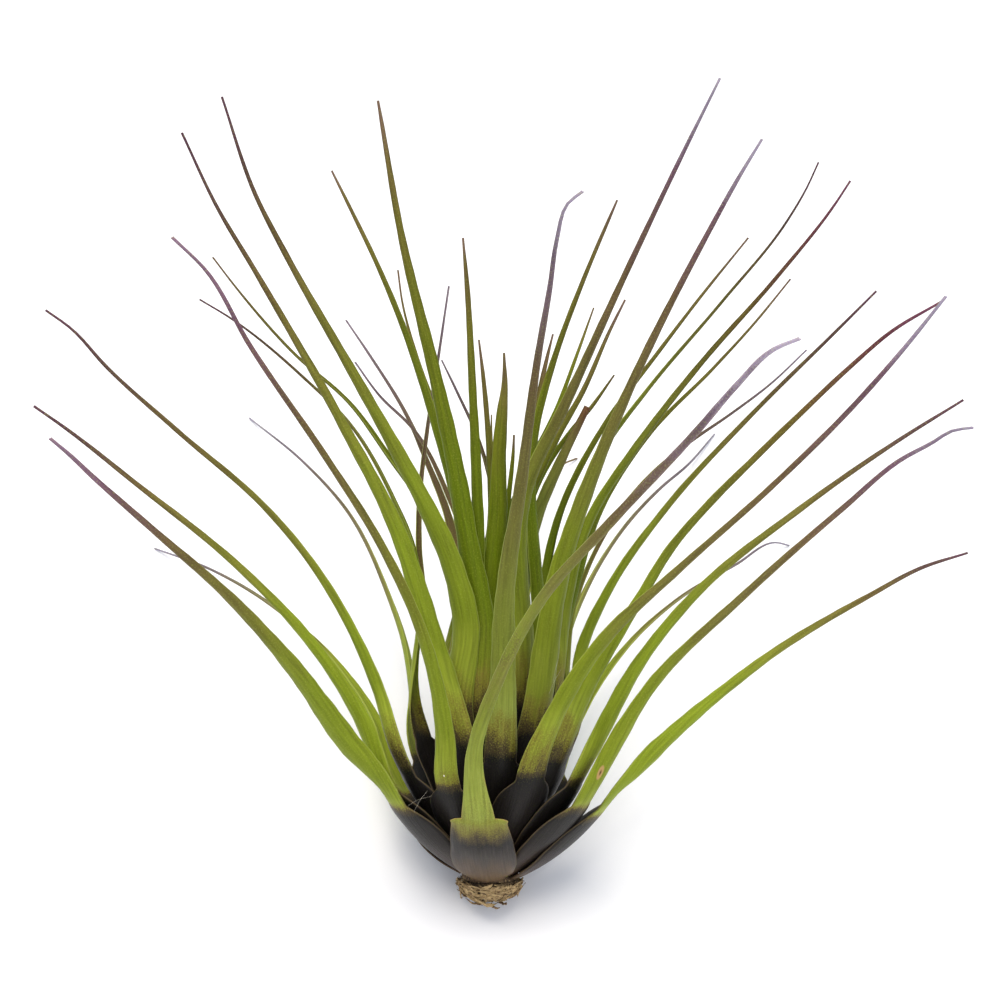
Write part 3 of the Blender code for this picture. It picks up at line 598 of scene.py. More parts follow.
def blade_waypoints(leaf):
    """Points that the blade passes through in the leaf's own frame, from the sheath's top to the tip.

    The leaf's frame stands at its foot on the stem's axis, and its -Y is the way that the leaf faces.
    """
    radius, height = sheath_middle(leaf, sheath_length(leaf))
    foot = np.array((0.0, 0.0, foot_height(leaf)))
    top = np.array((0.0, -radius, height))
    top_in_plant = turned_about_stem(top, leaf.azimuth) + foot
    tip_depth = depth_on_floor(leaf.path[-1]) if leaf.tip_depth is None else leaf.tip_depth * MM
    pixels = np.vstack((photo_pixel(top_in_plant), leaf.path))
    run = np.cumsum(np.linalg.norm(np.diff(pixels, axis=0), axis=1))
    points = [top]
    for pixel, share in zip(leaf.path, run / run[-1]):
        depth = -top_in_plant[1] + (tip_depth + top_in_plant[1]) * share**RECURVE
        points.append(turned_about_stem(photo_point(pixel, depth) - foot, -leaf.azimuth))
    return np.array(points)


def curve_through(points, first_direction):
    """A smooth curve through the points: cubic spans whose slopes come from the neighbouring points."""
    spans = np.linalg.norm(np.diff(points, axis=0), axis=1)
    slopes = np.empty_like(points)
    slopes[0] = first_direction
    slopes[-1] = (points[-1] - points[-2]) / spans[-1]
    for i in range(1, len(points) - 1):
        before = (points[i] - points[i - 1]) / spans[i - 1]
        after = (points[i + 1] - points[i]) / spans[i]
        slopes[i] = (before * spans[i] + after * spans[i - 1]) / (spans[i] + spans[i - 1])
    share = np.linspace(0, 1, SAMPLES_PER_SPAN, endpoint=False)[:, None]
    parts = []
    for i, span in enumerate(spans):
        parts.append(
            points[i] * (2 * share**3 - 3 * share**2 + 1)
            + slopes[i] * span * (share**3 - 2 * share**2 + share)
            + points[i + 1] * (3 * share**2 - 2 * share**3)
            + slopes[i + 1] * span * (share**3 - share**2)
        )
    return np.concatenate(parts + [points[-1:]])


def leaf_middle(leaf):
    """The leaf's middle line from foot to tip, with the distance of each point along it."""
    length = sheath_length(leaf)
    along = np.linspace(0, length, SAMPLES_PER_SPAN, endpoint=False)
    radius, height = sheath_middle(leaf, along)
    sheath = np.stack((np.zeros_like(along), -radius, height), axis=1)
    waypoints = blade_waypoints(leaf)
    direction = (waypoints[0] - sheath[-1]) / np.linalg.norm(waypoints[0] - sheath[-1])
    line = np.concatenate((sheath, curve_through(waypoints, direction)))
    distance = np.concatenate(((0,), np.cumsum(np.linalg.norm(np.diff(line, axis=0), axis=1))))
    return line, distance


def unit(vectors):
    """Vectors scaled to a length of one."""
    return vectors / np.linalg.norm(vectors, axis=-1, keepdims=True)


def carried_sideways(tangents):
    """Sideways directions along a curve, carried from point to point without twisting."""
    sideways = [np.array((1.0, 0.0, 0.0))]
    for tangent in tangents[1:]:
        last = sideways[-1]
        sideways.append(unit(last - tangent * np.dot(last, tangent)))
    return np.array(sideways)


def sheath_half_width(leaf):
    """Half width of a leaf's sheath where it is widest."""
    layers, widths = zip(*SHEATH_HALF_WIDTHS)
    return NARROW_SHEATHS.get(leaf.name, np.interp(leaf.layer, layers, widths))


def softened(outline, share, shifts):
    """Width of an outline at each share, as the mean over small shifts, which rounds its corners."""
    shares, widths = zip(*outline)
    return np.mean([np.interp(share + shift, shares, widths) for shift in shifts], axis=0)


def leaf_half_widths(leaf, along, blade_share):
    """Half width at each distance along the leaf: the sheath's outline, then the tapering blade."""
    shouldered = leaf.name in SHOULDERED
    outline = SHOULDERED_OUTLINE if shouldered else SHEATH_OUTLINE
    softening = SHOULDER_SOFTENING if shouldered else OUTLINE_SOFTENING
    sheath = softened(outline, along / sheath_length(leaf), softening) * sheath_half_width(leaf)
    taper = softened(TAPERS[leaf.taper], blade_share, TAPER_SOFTENING)
    swell = SWELL_SHARE * smooth(0, SWELL_FROM, blade_share) * sum(
        np.sin(2 * math.pi * along / length + leaf.azimuth + leaf.layer) for length in SWELL_LENGTHS)
    blade = leaf.width * MM / 2 * taper * (1 + swell)
    return np.maximum(np.maximum(sheath, blade), TIP_HALF_WIDTH)


class Rows(NamedTuple):
    """The rows of a leaf's grid from foot to tip, as arrays."""

    along: np.ndarray
    blade_share: np.ndarray
    middle: np.ndarray
    side: np.ndarray
    inward: np.ndarray
    half_width: np.ndarray
    radius: np.ndarray


def leaf_rows(leaf, settings):
    """Where each row of the leaf's grid lies, how wide it is and how far its section is curved."""
    line, distance = leaf_middle(leaf)
    length = sheath_length(leaf)
    blade_length = distance[-1] - length
    sheath_stations = np.linspace(0, length, settings.sheath_rows, endpoint=False)
    blade_rows = math.ceil(blade_length / settings.row_length)
    along = np.concatenate((sheath_stations, length + np.linspace(0, blade_length, blade_rows + 1)))
    tangents = unit(np.gradient(line, axis=0))
    sideways = carried_sideways(tangents)
    middle, tangent, side = (
        np.stack([np.interp(along, distance, values[:, axis]) for axis in range(3)], axis=1)
        for values in (line, tangents, sideways)
    )
    blade_share = np.maximum(0.0, (along - length) / blade_length)
    roll = (math.radians(leaf.roll) * smooth(0, ROLL_DONE, blade_share))[:, None]
    side = np.cos(roll) * side + np.sin(roll) * np.cross(tangent, side)
    wrap_radius = np.abs(middle[:, 1])
    half_width = leaf_half_widths(leaf, along, blade_share)
    half_width = np.where(along < length, np.minimum(half_width, SHEATH_MAX_WRAP * wrap_radius), half_width)
    opened = smooth(*SHEATH_OPENS, along / length)
    channel_radius = half_width / between(CHANNEL, blade_share)
    cup = SHOULDERED_CUP if leaf.name in SHOULDERED else SHEATH_CUP
    cupped_radius = wrap_radius * (1 - cup * smooth(*CUP_DONE, along / length))
    radius = cupped_radius ** (1 - opened) * channel_radius**opened
    share = opened[:, None]
    inward = unit((1 - share) * np.array((0.0, 1.0, 0.0)) - share * np.cross(side, tangent))
    depth = radius * (1 - np.cos(half_width / radius))
    middle = middle - (opened * depth / 2)[:, None] * inward
    signed_share = np.where(along < length, along / length - 1, blade_share)
    return Rows(along, signed_share, middle, side, inward, half_width, radius)


def set_inputs(tree, node, inputs):
    """Gives a node's inputs their values or links."""
    for key, value in inputs.items():
        if isinstance(value, bpy.types.NodeSocket):
            tree.links.new(value, node.inputs[key])
        else:
            node.inputs[key].default_value = value


def add_node(tree, kind, inputs=None, **settings):
    """A node of a kind with its settings, and with values or links for its inputs."""
    node = tree.nodes.new(kind)
    for name, value in settings.items():
        setattr(node, name, value)
    set_inputs(tree, node, inputs or {})
    return node


def set_stops(ramp, stops):
    """Gives a ramp node its stops, each a position and a linear colour."""
    elements = ramp.color_ramp.elements
    while len(elements) > 1:
        elements.remove(elements[-1])
    first, *others = stops
    elements[0].position = first[0]
    elements[0].color = opaque(first[1])
    for position, colour in others:
        elements.new(position).color = opaque(colour)


def grey(value):
    """An even grey as a linear colour."""
    return (value, value, value)


def new_material(name):
    """An empty node material with its Principled shader joined to the output, and its node tree."""
    material = bpy.data.materials.new(name)
    material.use_nodes = True
    tree = material.node_tree
    tree.nodes.clear()
    shader = add_node(tree, "ShaderNodeBsdfPrincipled")
    add_node(tree, "ShaderNodeOutputMaterial", {"Surface": shader.outputs["BSDF"]})
    return material, tree, shader


def pattern(tree, place, spacing, detail, roughness):
    """Growth pattern over a vector in metres, whose features lie spacing metres apart along each axis."""
    scaled = add_node(tree, "ShaderNodeMapping", {
        "Vector": place,
        "Scale": tuple(1 / step for step in spacing),
    })
    noise = add_node(tree, "ShaderNodeTexNoise", {
        "Vector": scaled.outputs["Vector"],
        "Scale": 1.0,
        "Detail": detail,
        "Roughness": roughness,
    })
    return noise.outputs["Fac"]


def range_inputs(value, source, target):
    """Inputs of a range node that carries a value from one range to another."""
    return {
        "Value": value,
        "From Min": source[0],
        "From Max": source[1],
        "To Min": target[0],
        "To Max": target[1],
    }


def tissue_colour(hex_colour, leaf, settings):
    """A leaf colour as the eye sees it, turned into the tissue's own colour under the soft light."""
    shade = between((settings.outer_shade, settings.inner_shade), min(1.0, leaf.layer / DARKEST_LAYER))
    return tuple(shade * channel for channel in linear(hex_colour))


def leaf_stops(leaf, settings, blade_length):
    """Colours along a leaf as ramp stops: the sheath fills the lower half and the blade the upper half."""
    tone = TONES[leaf.tone]
    front = leaf.name in SHOULDERED
    sheath = settings.front_sheath_colour if front else settings.sheath_colour
    low_sheath = settings.front_low_colour if front else settings.low_sheath_colour
    start = between((settings.outer_change_share, 0.0), min(1.0, leaf.layer / LOW_CHANGE_LAYER))
    if front:
        start = settings.front_change_share
    change = between((settings.outer_change, settings.inner_change), leaf.layer / LAYERS)
    change /= sheath_length(leaf) if front else blade_length
    along = (
        (-1.0, settings.foot_colour),
        (LOW_SHEATH_AT, low_sheath),
        (SHEATH_AT, sheath),
        (start - CHARCOAL_BEFORE, settings.charcoal_colour),
        (start + BRONZE_AT * change, settings.bronze_colour),
        (start + OLIVE_AT * change, settings.olive_colour),
        (start + LOW_GREEN_AT * change, tissue_colour(tone.low, leaf, settings)),
        (start + GREEN_AT * change, tissue_colour(tone.green, leaf, settings)),
        (GREEN_UNTIL * leaf.turn, tissue_colour(tone.green, leaf, settings)),
        (leaf.turn, tissue_colour(tone.olive, leaf, settings)),
        (between((leaf.turn, 1.0), BROWN_AT), tissue_colour(tone.brown, leaf, settings)),
        (between((leaf.turn, 1.0), TIP_AT), tissue_colour(tone.tip, leaf, settings)),
        (END_AT, tissue_colour(tone.end, leaf, settings)),
    )
    stops = sorted(along, key=lambda stop: stop[0])
    return [((share + 1) / 2, tuple(colour)) for share, colour in stops]


def scar_mark(tree, place, colour, mark):
    """Lays a small mark over a leaf's colour: its middle inside its rim."""
    spot, size, middle, lip = mark
    moved = add_node(tree, "ShaderNodeVectorMath", {
        0: place,
        1: (spot[0], spot[1], 0.0),
    }, operation="SUBTRACT")
    scaled = add_node(tree, "ShaderNodeVectorMath", {
        0: moved.outputs["Vector"],
        1: (1 / size[0], 1 / size[1], 0.0),
    }, operation="MULTIPLY")
    reach = add_node(tree, "ShaderNodeVectorMath", {0: scaled.outputs["Vector"]}, operation="LENGTH")
    lips = add_node(tree, "ShaderNodeValToRGB", {"Fac": reach.outputs["Value"]})
    set_stops(lips, zip(MARK_STOPS, (linear(middle), linear(lip))))
    inside = add_node(
        tree, "ShaderNodeMapRange", range_inputs(reach.outputs["Value"], MARK_FADES, (1.0, 0.0)))
    laid = add_node(tree, "ShaderNodeMix", {
        "Factor": inside.outputs["Result"],
        6: colour,
        7: lips.outputs["Color"],
    }, data_type="RGBA")
    return laid.outputs[2]


def leaf_material(leaf, settings, blade_length):
    """Scurfy living leaf tissue, matt with a faint satin sheen.

    The eye sees a nearly black sheath that clears through speckled bronze and olive into green, then the
    leaf's own end colours. Fine streaks run lengthwise, and pale scales of about a third of a millimetre
    dust the surface. The margins are thin and pale.
    """
    material, tree, shader = new_material(f"scurfy_leaf_tissue_{leaf.name}")
    share, along, across, edge = (
        add_node(tree, "ShaderNodeAttribute", attribute_name=name).outputs["Fac"]
        for name in ("leaf_share", "leaf_along", "leaf_across", "leaf_edge"))
    spot = add_node(tree, "ShaderNodeCombineXYZ", {"X": across, "Y": along}).outputs["Vector"]
    offset = (0.0, 0.0, (leaf.azimuth + leaf.layer) * MM)
    place = add_node(tree, "ShaderNodeVectorMath", {0: spot, 1: offset}, operation="ADD").outputs["Vector"]
    veins = pattern(tree, place, *VEINS)
    clouds = pattern(tree, place, *TONE_CLOUDS)
    scurf = pattern(tree, place, *SCURF_SCALES)

    # where the colours change wanders by a few millimetres, and speckles at the size of the scurf
    run = 2 * sheath_length(leaf) if leaf.name in SHOULDERED else blade_length
    wander = settings.wander / run / 2
    speckle = settings.speckle / run / 2
    drift = add_node(tree, "ShaderNodeMapRange", range_inputs(clouds, PATTERN_MOST, (-wander, wander)))
    grain = add_node(tree, "ShaderNodeMapRange", range_inputs(scurf, PATTERN_MOST, (-speckle, speckle)))
    shift = add_node(tree, "ShaderNodeMath", {0: drift.outputs["Result"], 1: grain.outputs["Result"]},
                     operation="ADD")
    moved = add_node(tree, "ShaderNodeMath", {0: share, 1: shift.outputs["Value"]}, operation="ADD")
    position = add_node(
        tree, "ShaderNodeMapRange", range_inputs(moved.outputs["Value"], (-1.0, 1.0), (0.0, 1.0)))
    ramp = add_node(tree, "ShaderNodeValToRGB", {"Fac": position.outputs["Result"]})
    set_stops(ramp, leaf_stops(leaf, settings, blade_length))

    shade = add_node(tree, "ShaderNodeValToRGB", {"Fac": veins})
    streaks = (grey(settings.streak_dark), grey(1.0), grey(settings.streak_light))
    set_stops(shade, zip(STREAK_STOPS, streaks))
    streaked = add_node(tree, "ShaderNodeMix", {
        "Factor": 1.0,
        6: ramp.outputs["Color"],
        7: shade.outputs["Color"],
    }, data_type="RGBA", blend_type="MULTIPLY")
    strength = between((settings.outer_scurf, settings.inner_scurf), leaf.layer / LAYERS)
    dusting = add_node(tree, "ShaderNodeMapRange", range_inputs(scurf, HIGH_SPOTS, (0.0, strength)),
                       interpolation_type="SMOOTHSTEP")
    bare = add_node(
        tree, "ShaderNodeMapRange", range_inputs(moved.outputs["Value"], SCURF_STARTS, (SHEATH_SCURF, 1.0)))
    dust = add_node(tree, "ShaderNodeMath", {
        0: dusting.outputs["Result"],
        1: bare.outputs["Result"],
    }, operation="MULTIPLY")
    dusted = add_node(tree, "ShaderNodeMix", {
        "Factor": dust.outputs["Value"],
        6: streaked.outputs[2],
        7: opaque(settings.scurf_colour),
    }, data_type="RGBA")

    tooth = settings.tooth_colour if leaf.name in SHOULDERED else settings.paper_colour
    rim = add_node(tree, "ShaderNodeValToRGB", {"Fac": position.outputs["Result"]})
    set_stops(rim, (
        (0.0, settings.foot_colour),
        (PAPER_SPAN[0], settings.paper_colour),
        (PAPER_SPAN[1], settings.paper_colour),
        (TOOTH_SPAN[0], tooth),
        (TOOTH_SPAN[1], tooth),
        (EDGE_SPAN[0], settings.edge_colour),
        (EDGE_SPAN[1], settings.edge_colour),
        (RIM_TIP_AT, tissue_colour(TONES[leaf.tone].tip, leaf, settings)),
    ))
    margin = add_node(
        tree, "ShaderNodeMapRange", range_inputs(edge, (0.0, 1.0), (settings.edge_strength, 0.0)))
    edged = add_node(tree, "ShaderNodeMix", {
        "Factor": margin.outputs["Result"],
        6: dusted.outputs[2],
        7: rim.outputs["Color"],
    }, data_type="RGBA")
    colour = edged.outputs[2]
    for mark in SCARS.get(leaf.name, ()):
        colour = scar_mark(tree, spot, colour, mark)

    gloss = add_node(tree, "ShaderNodeMapRange", range_inputs(
        share, MATT_FROM, (settings.sheath_roughness, settings.blade_roughness)))
    shine = add_node(tree, "ShaderNodeMapRange", range_inputs(
        share, SHINE_FADES, (settings.sheath_shine, settings.blade_shine)))
    ribs = add_node(tree, "ShaderNodeMapRange", range_inputs(veins, PATTERN_MOST, (0.0, 1.0)))
    bumps = add_node(tree, "ShaderNodeMapRange", range_inputs(scurf, SCURF_RISES, (0.0, SCURF_HEIGHT)))
    relief = add_node(tree, "ShaderNodeMath", {0: ribs.outputs["Result"], 1: bumps.outputs["Result"]},
                      operation="ADD")
    bump = add_node(tree, "ShaderNodeBump", {
        "Height": relief.outputs["Value"],
        "Distance": settings.relief,
        "Strength": LEAF_RELIEF_STRENGTH,
    })
    set_inputs(tree, shader, {
        "Base Color": colour,
        "Roughness": gloss.outputs["Result"],
        "Specular IOR Level": shine.outputs["Result"],
        "Normal": bump.outputs["Normal"],
        "IOR": LEAF_IOR,
        "Sheen Weight": settings.sheen,
        "Sheen Roughness": SHEEN_ROUGHNESS,
        "Sheen Tint": opaque(settings.sheen_colour),
        "Subsurface Weight": settings.glow,
        "Subsurface Radius": GLOW_COLOURS,
        "Subsurface Scale": GLOW_REACH,
    })
    return material


def dry_material(name, dark, light, crumb, spacing, roughness):
    """Dead plant matter, quite matt: fibres drawn out along one way, with paler worn crumbs on them."""
    material, tree, shader = new_material(name)
    place = add_node(tree, "ShaderNodeTexCoord").outputs["Object"]
    fibres = pattern(tree, place, spacing, *FIBRE_DETAIL)
    crumbs = pattern(tree, place, *CRUMBS)
    ramp = add_node(tree, "ShaderNodeValToRGB", {"Fac": fibres})
    set_stops(ramp, zip(FIBRE_STOPS, (dark, light, crumb)))
    worn = add_node(tree, "ShaderNodeMapRange", range_inputs(crumbs, HIGH_SPOTS, (0.0, MOST_WORN)),
                    interpolation_type="SMOOTHSTEP")
    paler = add_node(tree, "ShaderNodeMix", {
        "Factor": worn.outputs["Result"],
        6: ramp.outputs["Color"],
        7: opaque(crumb),
    }, data_type="RGBA")
    cracks = add_node(tree, "ShaderNodeMapRange", range_inputs(crumbs, CRACK_SPOTS, (MOST_CRACKED, 0.0)),
                      interpolation_type="SMOOTHSTEP")
    cracked = add_node(tree, "ShaderNodeMix", {
        "Factor": cracks.outputs["Result"],
        6: paler.outputs[2],
        7: opaque(dark),
    }, data_type="RGBA")
    height = add_node(tree, "ShaderNodeMath", {0: fibres, 1: crumbs}, operation="ADD")
    bump = add_node(tree, "ShaderNodeBump", {
        "Height": height.outputs["Value"],
        "Distance": DRY_RELIEF,
        "Strength": DRY_RELIEF_STRENGTH,
    })
    set_inputs(tree, shader, {
        "Base Color": cracked.outputs[2],
        "Normal": bump.outputs["Normal"],
        "Roughness": roughness,
        "IOR": DRY_IOR,
    })
    return material


def hair_material(colour, shade):
    """Loose dry leaf hair, thin and nearly white, with slightly browner stretches."""
    material, tree, shader = new_material("white_leaf_hair")
    place = add_node(tree, "ShaderNodeTexCoord").outputs["Object"]
    ramp = add_node(tree, "ShaderNodeValToRGB", {"Fac": pattern(tree, place, *HAIR_STRETCHES)})
    set_stops(ramp, zip(HAIR_STOPS, (shade, colour)))
    set_inputs(tree, shader, {"Base Color": ramp.outputs["Color"], "Roughness": HAIR_ROUGHNESS})
    return material


def table_material(colour):
    """Plain white laminated board, matt, with a tone that drifts very slightly."""
    material, tree, shader = new_material("matt_white_table")
    place = add_node(tree, "ShaderNodeTexCoord").outputs["Object"]
    ramp = add_node(tree, "ShaderNodeValToRGB", {"Fac": pattern(tree, place, *TABLE_DRIFT)})
    darkest = tuple(TABLE_DARKEST * channel for channel in colour)
    set_stops(ramp, zip(PATTERN_MOST, (darkest, colour)))
    set_inputs(tree, shader, {
        "Base Color": ramp.outputs["Color"],
        "Roughness": TABLE_ROUGHNESS,
        "Specular IOR Level": TABLE_SHINE,
    })
    return material


def deselect_all():
    """Clears the selection, which the loaded model and each new primitive leave behind."""
    bpy.ops.object.select_all(action="DESELECT")


def select_only(piece):
    """Makes a piece the only selected one and the active one."""
    deselect_all()
    piece.select_set(True)
    bpy.context.view_layer.objects.active = piece


def settle_in_world(piece):
    """Carries a piece shaped in the plant's frame into the world, with its place in its mesh."""
    piece.data.transform(PLANT @ piece.matrix_world)
    piece.matrix_world = Matrix.Identity(4)


def apply_modifiers(piece):
    """Applies a piece's modifiers in their order."""
    select_only(piece)
    for modifier in list(piece.modifiers):
        bpy.ops.object.modifier_apply(modifier=modifier.name)


def finish_piece(piece, material, nodes=()):
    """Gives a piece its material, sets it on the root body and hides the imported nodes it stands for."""
    piece.data.materials.clear()
    piece.data.materials.append(material)
    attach(piece, "root")
    if nodes:
        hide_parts(*nodes)


def add_grid(name, columns, rows):
    """A flat grid one metre square at the origin, ready to be shaped."""
    deselect_all()
    bpy.ops.mesh.primitive_grid_add(x_subdivisions=columns, y_subdivisions=rows, size=1.0, calc_uvs=True)
    piece = bpy.context.object
    piece.name = name
    piece.data.name = name
    return piece


def piece_points(piece):
    """The points of a piece's mesh, one to a row."""
    numbers = np.empty(len(piece.data.vertices) * 3)
    piece.data.vertices.foreach_get("co", numbers)
    return numbers.reshape(-1, 3)


def move_points(piece, points):
    """Gives the points of a piece's mesh their new places."""
    piece.data.vertices.foreach_set("co", points.ravel())
    piece.data.update()


def grid_shares(piece, rows):
    """For each point of a grid: how far across it lies, from -1 to 1, and its row from the bottom."""
    flat = piece_points(piece)
    return 2 * flat[:, 0], np.rint((flat[:, 1] + 0.5) * rows).astype(int)


def store(mesh, name, values):
    """Keeps a number for each point of a mesh as an attribute, for the materials."""
    mesh.attributes.new(name, "FLOAT", "POINT").data.foreach_set("value", values)


def add_shell(piece, thickness, shares):
    """Thickens a sheet on its outer side, by a share of the thickness at each point."""
    group = piece.vertex_groups.new(name="thickness")
    for index, share in enumerate(shares):
        group.add((index,), float(share), "REPLACE")
    shell = piece.modifiers.new("thickness", "SOLIDIFY")
    shell.thickness = thickness
    shell.offset = 1.0
    shell.vertex_group = group.name
    shell.thickness_vertex_group = 0.0
    apply_modifiers(piece)
    piece.vertex_groups.clear()


def make_leaf(leaf, settings):
    """One leaf: a grid laid along its rows, given its thickness, then set in its place."""
    rows = leaf_rows(leaf, settings)
    steps = len(rows.along) - 1
    piece = add_grid(f"{leaf.name}_grown", settings.columns, steps)
    across, row = grid_shares(piece, steps)
    radius = rows.radius[row]
    angle = across * rows.half_width[row] / radius
    side = (radius * np.sin(angle))[:, None] * rows.side[row]
    rise = (radius * (1 - np.cos(angle)))[:, None] * rows.inward[row]
    points = turned_about_stem(rows.middle[row] + side + rise, leaf.azimuth)
    points[:, 2] += foot_height(leaf)
    move_points(piece, points)
    mesh = piece.data
    store(mesh, "leaf_share", rows.blade_share[row])
    store(mesh, "leaf_along", rows.along[row])
    store(mesh, "leaf_across", across * rows.half_width[row])
    margin_width = np.minimum(MARGIN_WIDTH, MARGIN_SHARE * rows.half_width)[row]
    store(mesh, "leaf_edge", (1 - np.abs(across)) * rows.half_width[row] / margin_width)
    margin = 1 - (1 - MARGIN_THICKNESS_SHARE) * np.abs(across)
    taper = 1 - (1 - TIP_THICKNESS_SHARE) * np.maximum(0.0, rows.blade_share[row])
    thickness = between((settings.outer_thickness, settings.inner_thickness), leaf.layer / LAYERS)
    add_shell(piece, thickness, margin * taper)
    mesh.shade_smooth()
    settle_in_world(piece)
    blade_length = rows.along[-1] - sheath_length(leaf)
    finish_piece(piece, leaf_material(leaf, settings, blade_length), (leaf.name,))


def crumple(piece, name, size, strength):
    """Pushes a piece's points in and out by soft clouds of a size, then applies it."""
    clouds = bpy.data.textures.new(name, "CLOUDS")
    clouds.noise_scale = size
    clouds.noise_depth = CLOUD_LEVELS
    push = piece.modifiers.new(name, "DISPLACE")
    push.texture = clouds
    push.texture_coords = "LOCAL"
    push.strength = strength
    push.mid_level = 0.5
    apply_modifiers(piece)


def draw_up_sides(piece):
    """Draws up the sides of the stub's foot, so that its front ends in a crescent."""
    points = piece_points(piece)
    low = np.clip(1 - points[:, 2] / STUB_TOP, 0.0, MOST_DRAWN)
    front = np.clip(0.5 - points[:, 1] / CRESCENT_BACK, 0.0, 1.0)
    points[:, 2] += SIDE_RISE * (points[:, 0] / STUB_RADIUS) ** 2 * low * front
    move_points(piece, points)


def keep_above_table(piece):
    """Flattens what the crumpling pushed below the table, where the real one is pressed flat."""
    for vertex in piece.data.vertices:
        vertex.co.z = max(vertex.co.z, 0.0)


def finish_foot_piece(piece, material, nodes=()):
    """Finishes a piece of the plant's foot: draws up its sides and lays it on the table."""
    draw_up_sides(piece)
    piece.data.shade_smooth()
    settle_in_world(piece)
    keep_above_table(piece)
    finish_piece(piece, material, nodes)


def select_level_faces(piece, side):
    """Selects the level faces of the piece in edit mode that look down, for side -1, or up, for side 1."""
    bpy.ops.object.mode_set(mode="OBJECT")
    for face in piece.data.polygons:
        face.select = side * face.normal.z > END_LEVEL
    bpy.ops.object.mode_set(mode="EDIT")


def make_stub(settings):
    """The cut end of the stem: it narrows downwards, with a crumbling, hollowed underside."""
    deselect_all()
    depth = STUB_TOP - STUB_BOTTOM
    bpy.ops.mesh.primitive_cone_add(
        vertices=settings.stub_sides, radius1=STUB_RIM - settings.stub_inset,
        radius2=STUB_RADIUS - settings.stub_inset, depth=depth, location=(0, 0, STUB_BOTTOM + depth / 2))
    stub = bpy.context.object
    stub.name = "root_stub_crumbled"
    bpy.ops.object.transform_apply(location=True)
    bpy.ops.object.mode_set(mode="EDIT")
    bpy.ops.mesh.select_mode(type="FACE")
    ring = (STUB_RIM - settings.stub_inset) / (STUB_RINGS + 1)
    for side, hollow in ((-1, STUB_HOLLOW), (1, 0.0)):
        select_level_faces(stub, side)
        for _ in range(STUB_RINGS):
            bpy.ops.mesh.inset(thickness=ring, depth=-hollow / STUB_RINGS)
        bpy.ops.mesh.poke()
    bpy.ops.mesh.select_all(action="SELECT")
    bpy.ops.mesh.subdivide(number_cuts=STUB_CUTS)
    bpy.ops.object.mode_set(mode="OBJECT")
    crumple(stub, "stub_lumps", LUMP_SIZE, settings.stub_lumps)
    crumple(stub, "stub_crumbs", STUB_CRUMB_SIZE, settings.stub_lumps * STUB_CRUMB_SHARE)
    bark = dry_material(
        "crumbling_stem_bark", settings.gap_colour, settings.bark_colour, settings.crumb_colour, *STUB_BARK)
    finish_foot_piece(stub, bark, ("root_stub",))


def stub_radius_at(height):
    """Radius of the narrowing stub at a height on it."""
    share = np.clip((height - STUB_BOTTOM) / (STUB_TOP - STUB_BOTTOM), 0.0, 1.0)
    return between((STUB_RIM, STUB_RADIUS), share)


def scale_points(piece, columns, rows, azimuth, chance):
    """Bends a grid round the stub's side as a torn scale with a ragged, flaring lower edge."""
    across, row = grid_shares(piece, rows)
    up = row / rows
    column = np.rint((across + 1) / 2 * columns).astype(int)
    ragged = np.array([chance.uniform(0.0, 1.0) for _ in range(columns + 1)])[column]
    tucked = np.array([chance.uniform(-1.0, 1.0) for _ in range(columns + 1)])[column]
    angle = across * SCALE_HALF_WRAP
    low = SCALE_HEIGHT[0] + SCALE_TEAR * ragged
    high = SCALE_HEIGHT[1] - SCALE_TEAR * np.roll(ragged, 1)
    height = low + (high - low) * up
    radius = stub_radius_at(height) + GAP + SCALE_FLARE * np.maximum(0.0, 1 - 2 * up) * (1 + tucked)
    points = np.stack((radius * np.sin(angle), -radius * np.cos(angle), height), axis=1)
    move_points(piece, turned_about_stem(points, azimuth))
    return np.abs(across), up


def make_dry_scales(settings):
    """The remains of dead leaf feet round the stub, each a torn papery scale."""
    paper = dry_material(
        "papery_dead_leaf_base", settings.scale_dark_colour, settings.scale_colour, settings.crumb_colour,
        *SCALE_PAPER)
    columns, rows = SCALE_GRID
    for number, azimuth in enumerate(SCALE_AZIMUTHS, 1):
        chance = random.Random(SCALE_SEED + number)
        scale = add_grid(f"dry_scale_{number}_torn", columns, rows)
        edge, up = scale_points(scale, columns, rows, azimuth, chance)
        add_shell(scale, settings.scale_thickness, 1 - SCALE_THINNING * np.maximum(edge, np.abs(2 * up - 1)))
        crumple(scale, f"scale_{number}_crumple", SCALE_CRUMPLE_SIZE, settings.scale_crumple)
        finish_foot_piece(scale, paper, (f"dry_scale_{number}",))


def make_strands(name, strands, roundness):
    """One mesh of tapering strands, each given as its points and the radius at each point."""
    curve = bpy.data.curves.new(name, "CURVE")
    curve.dimensions = "3D"
    curve.bevel_depth = 1.0
    curve.bevel_resolution = roundness
    curve.use_fill_caps = True
    curve.resolution_u = STRAND_STEPS
    for points, radii in strands:
        line = curve.splines.new("NURBS")
        line.points.add(len(points) - 1)
        line.order_u = 3
        line.use_endpoint_u = True
        for target, point, radius in zip(line.points, points, radii):
            target.co = (point[0], point[1], point[2], 1.0)
            target.radius = radius
    piece = bpy.data.objects.new(name, curve)
    bpy.context.scene.collection.objects.link(piece)
    select_only(piece)
    bpy.ops.object.convert(target="MESH")
    piece = bpy.context.object
    bpy.ops.object.mode_set(mode="EDIT")
    bpy.ops.mesh.select_all(action="SELECT")
    bpy.ops.mesh.remove_doubles(threshold=WELD_DISTANCE)
    bpy.ops.mesh.normals_make_consistent(inside=False)
    bpy.ops.object.mode_set(mode="OBJECT")
    return piece


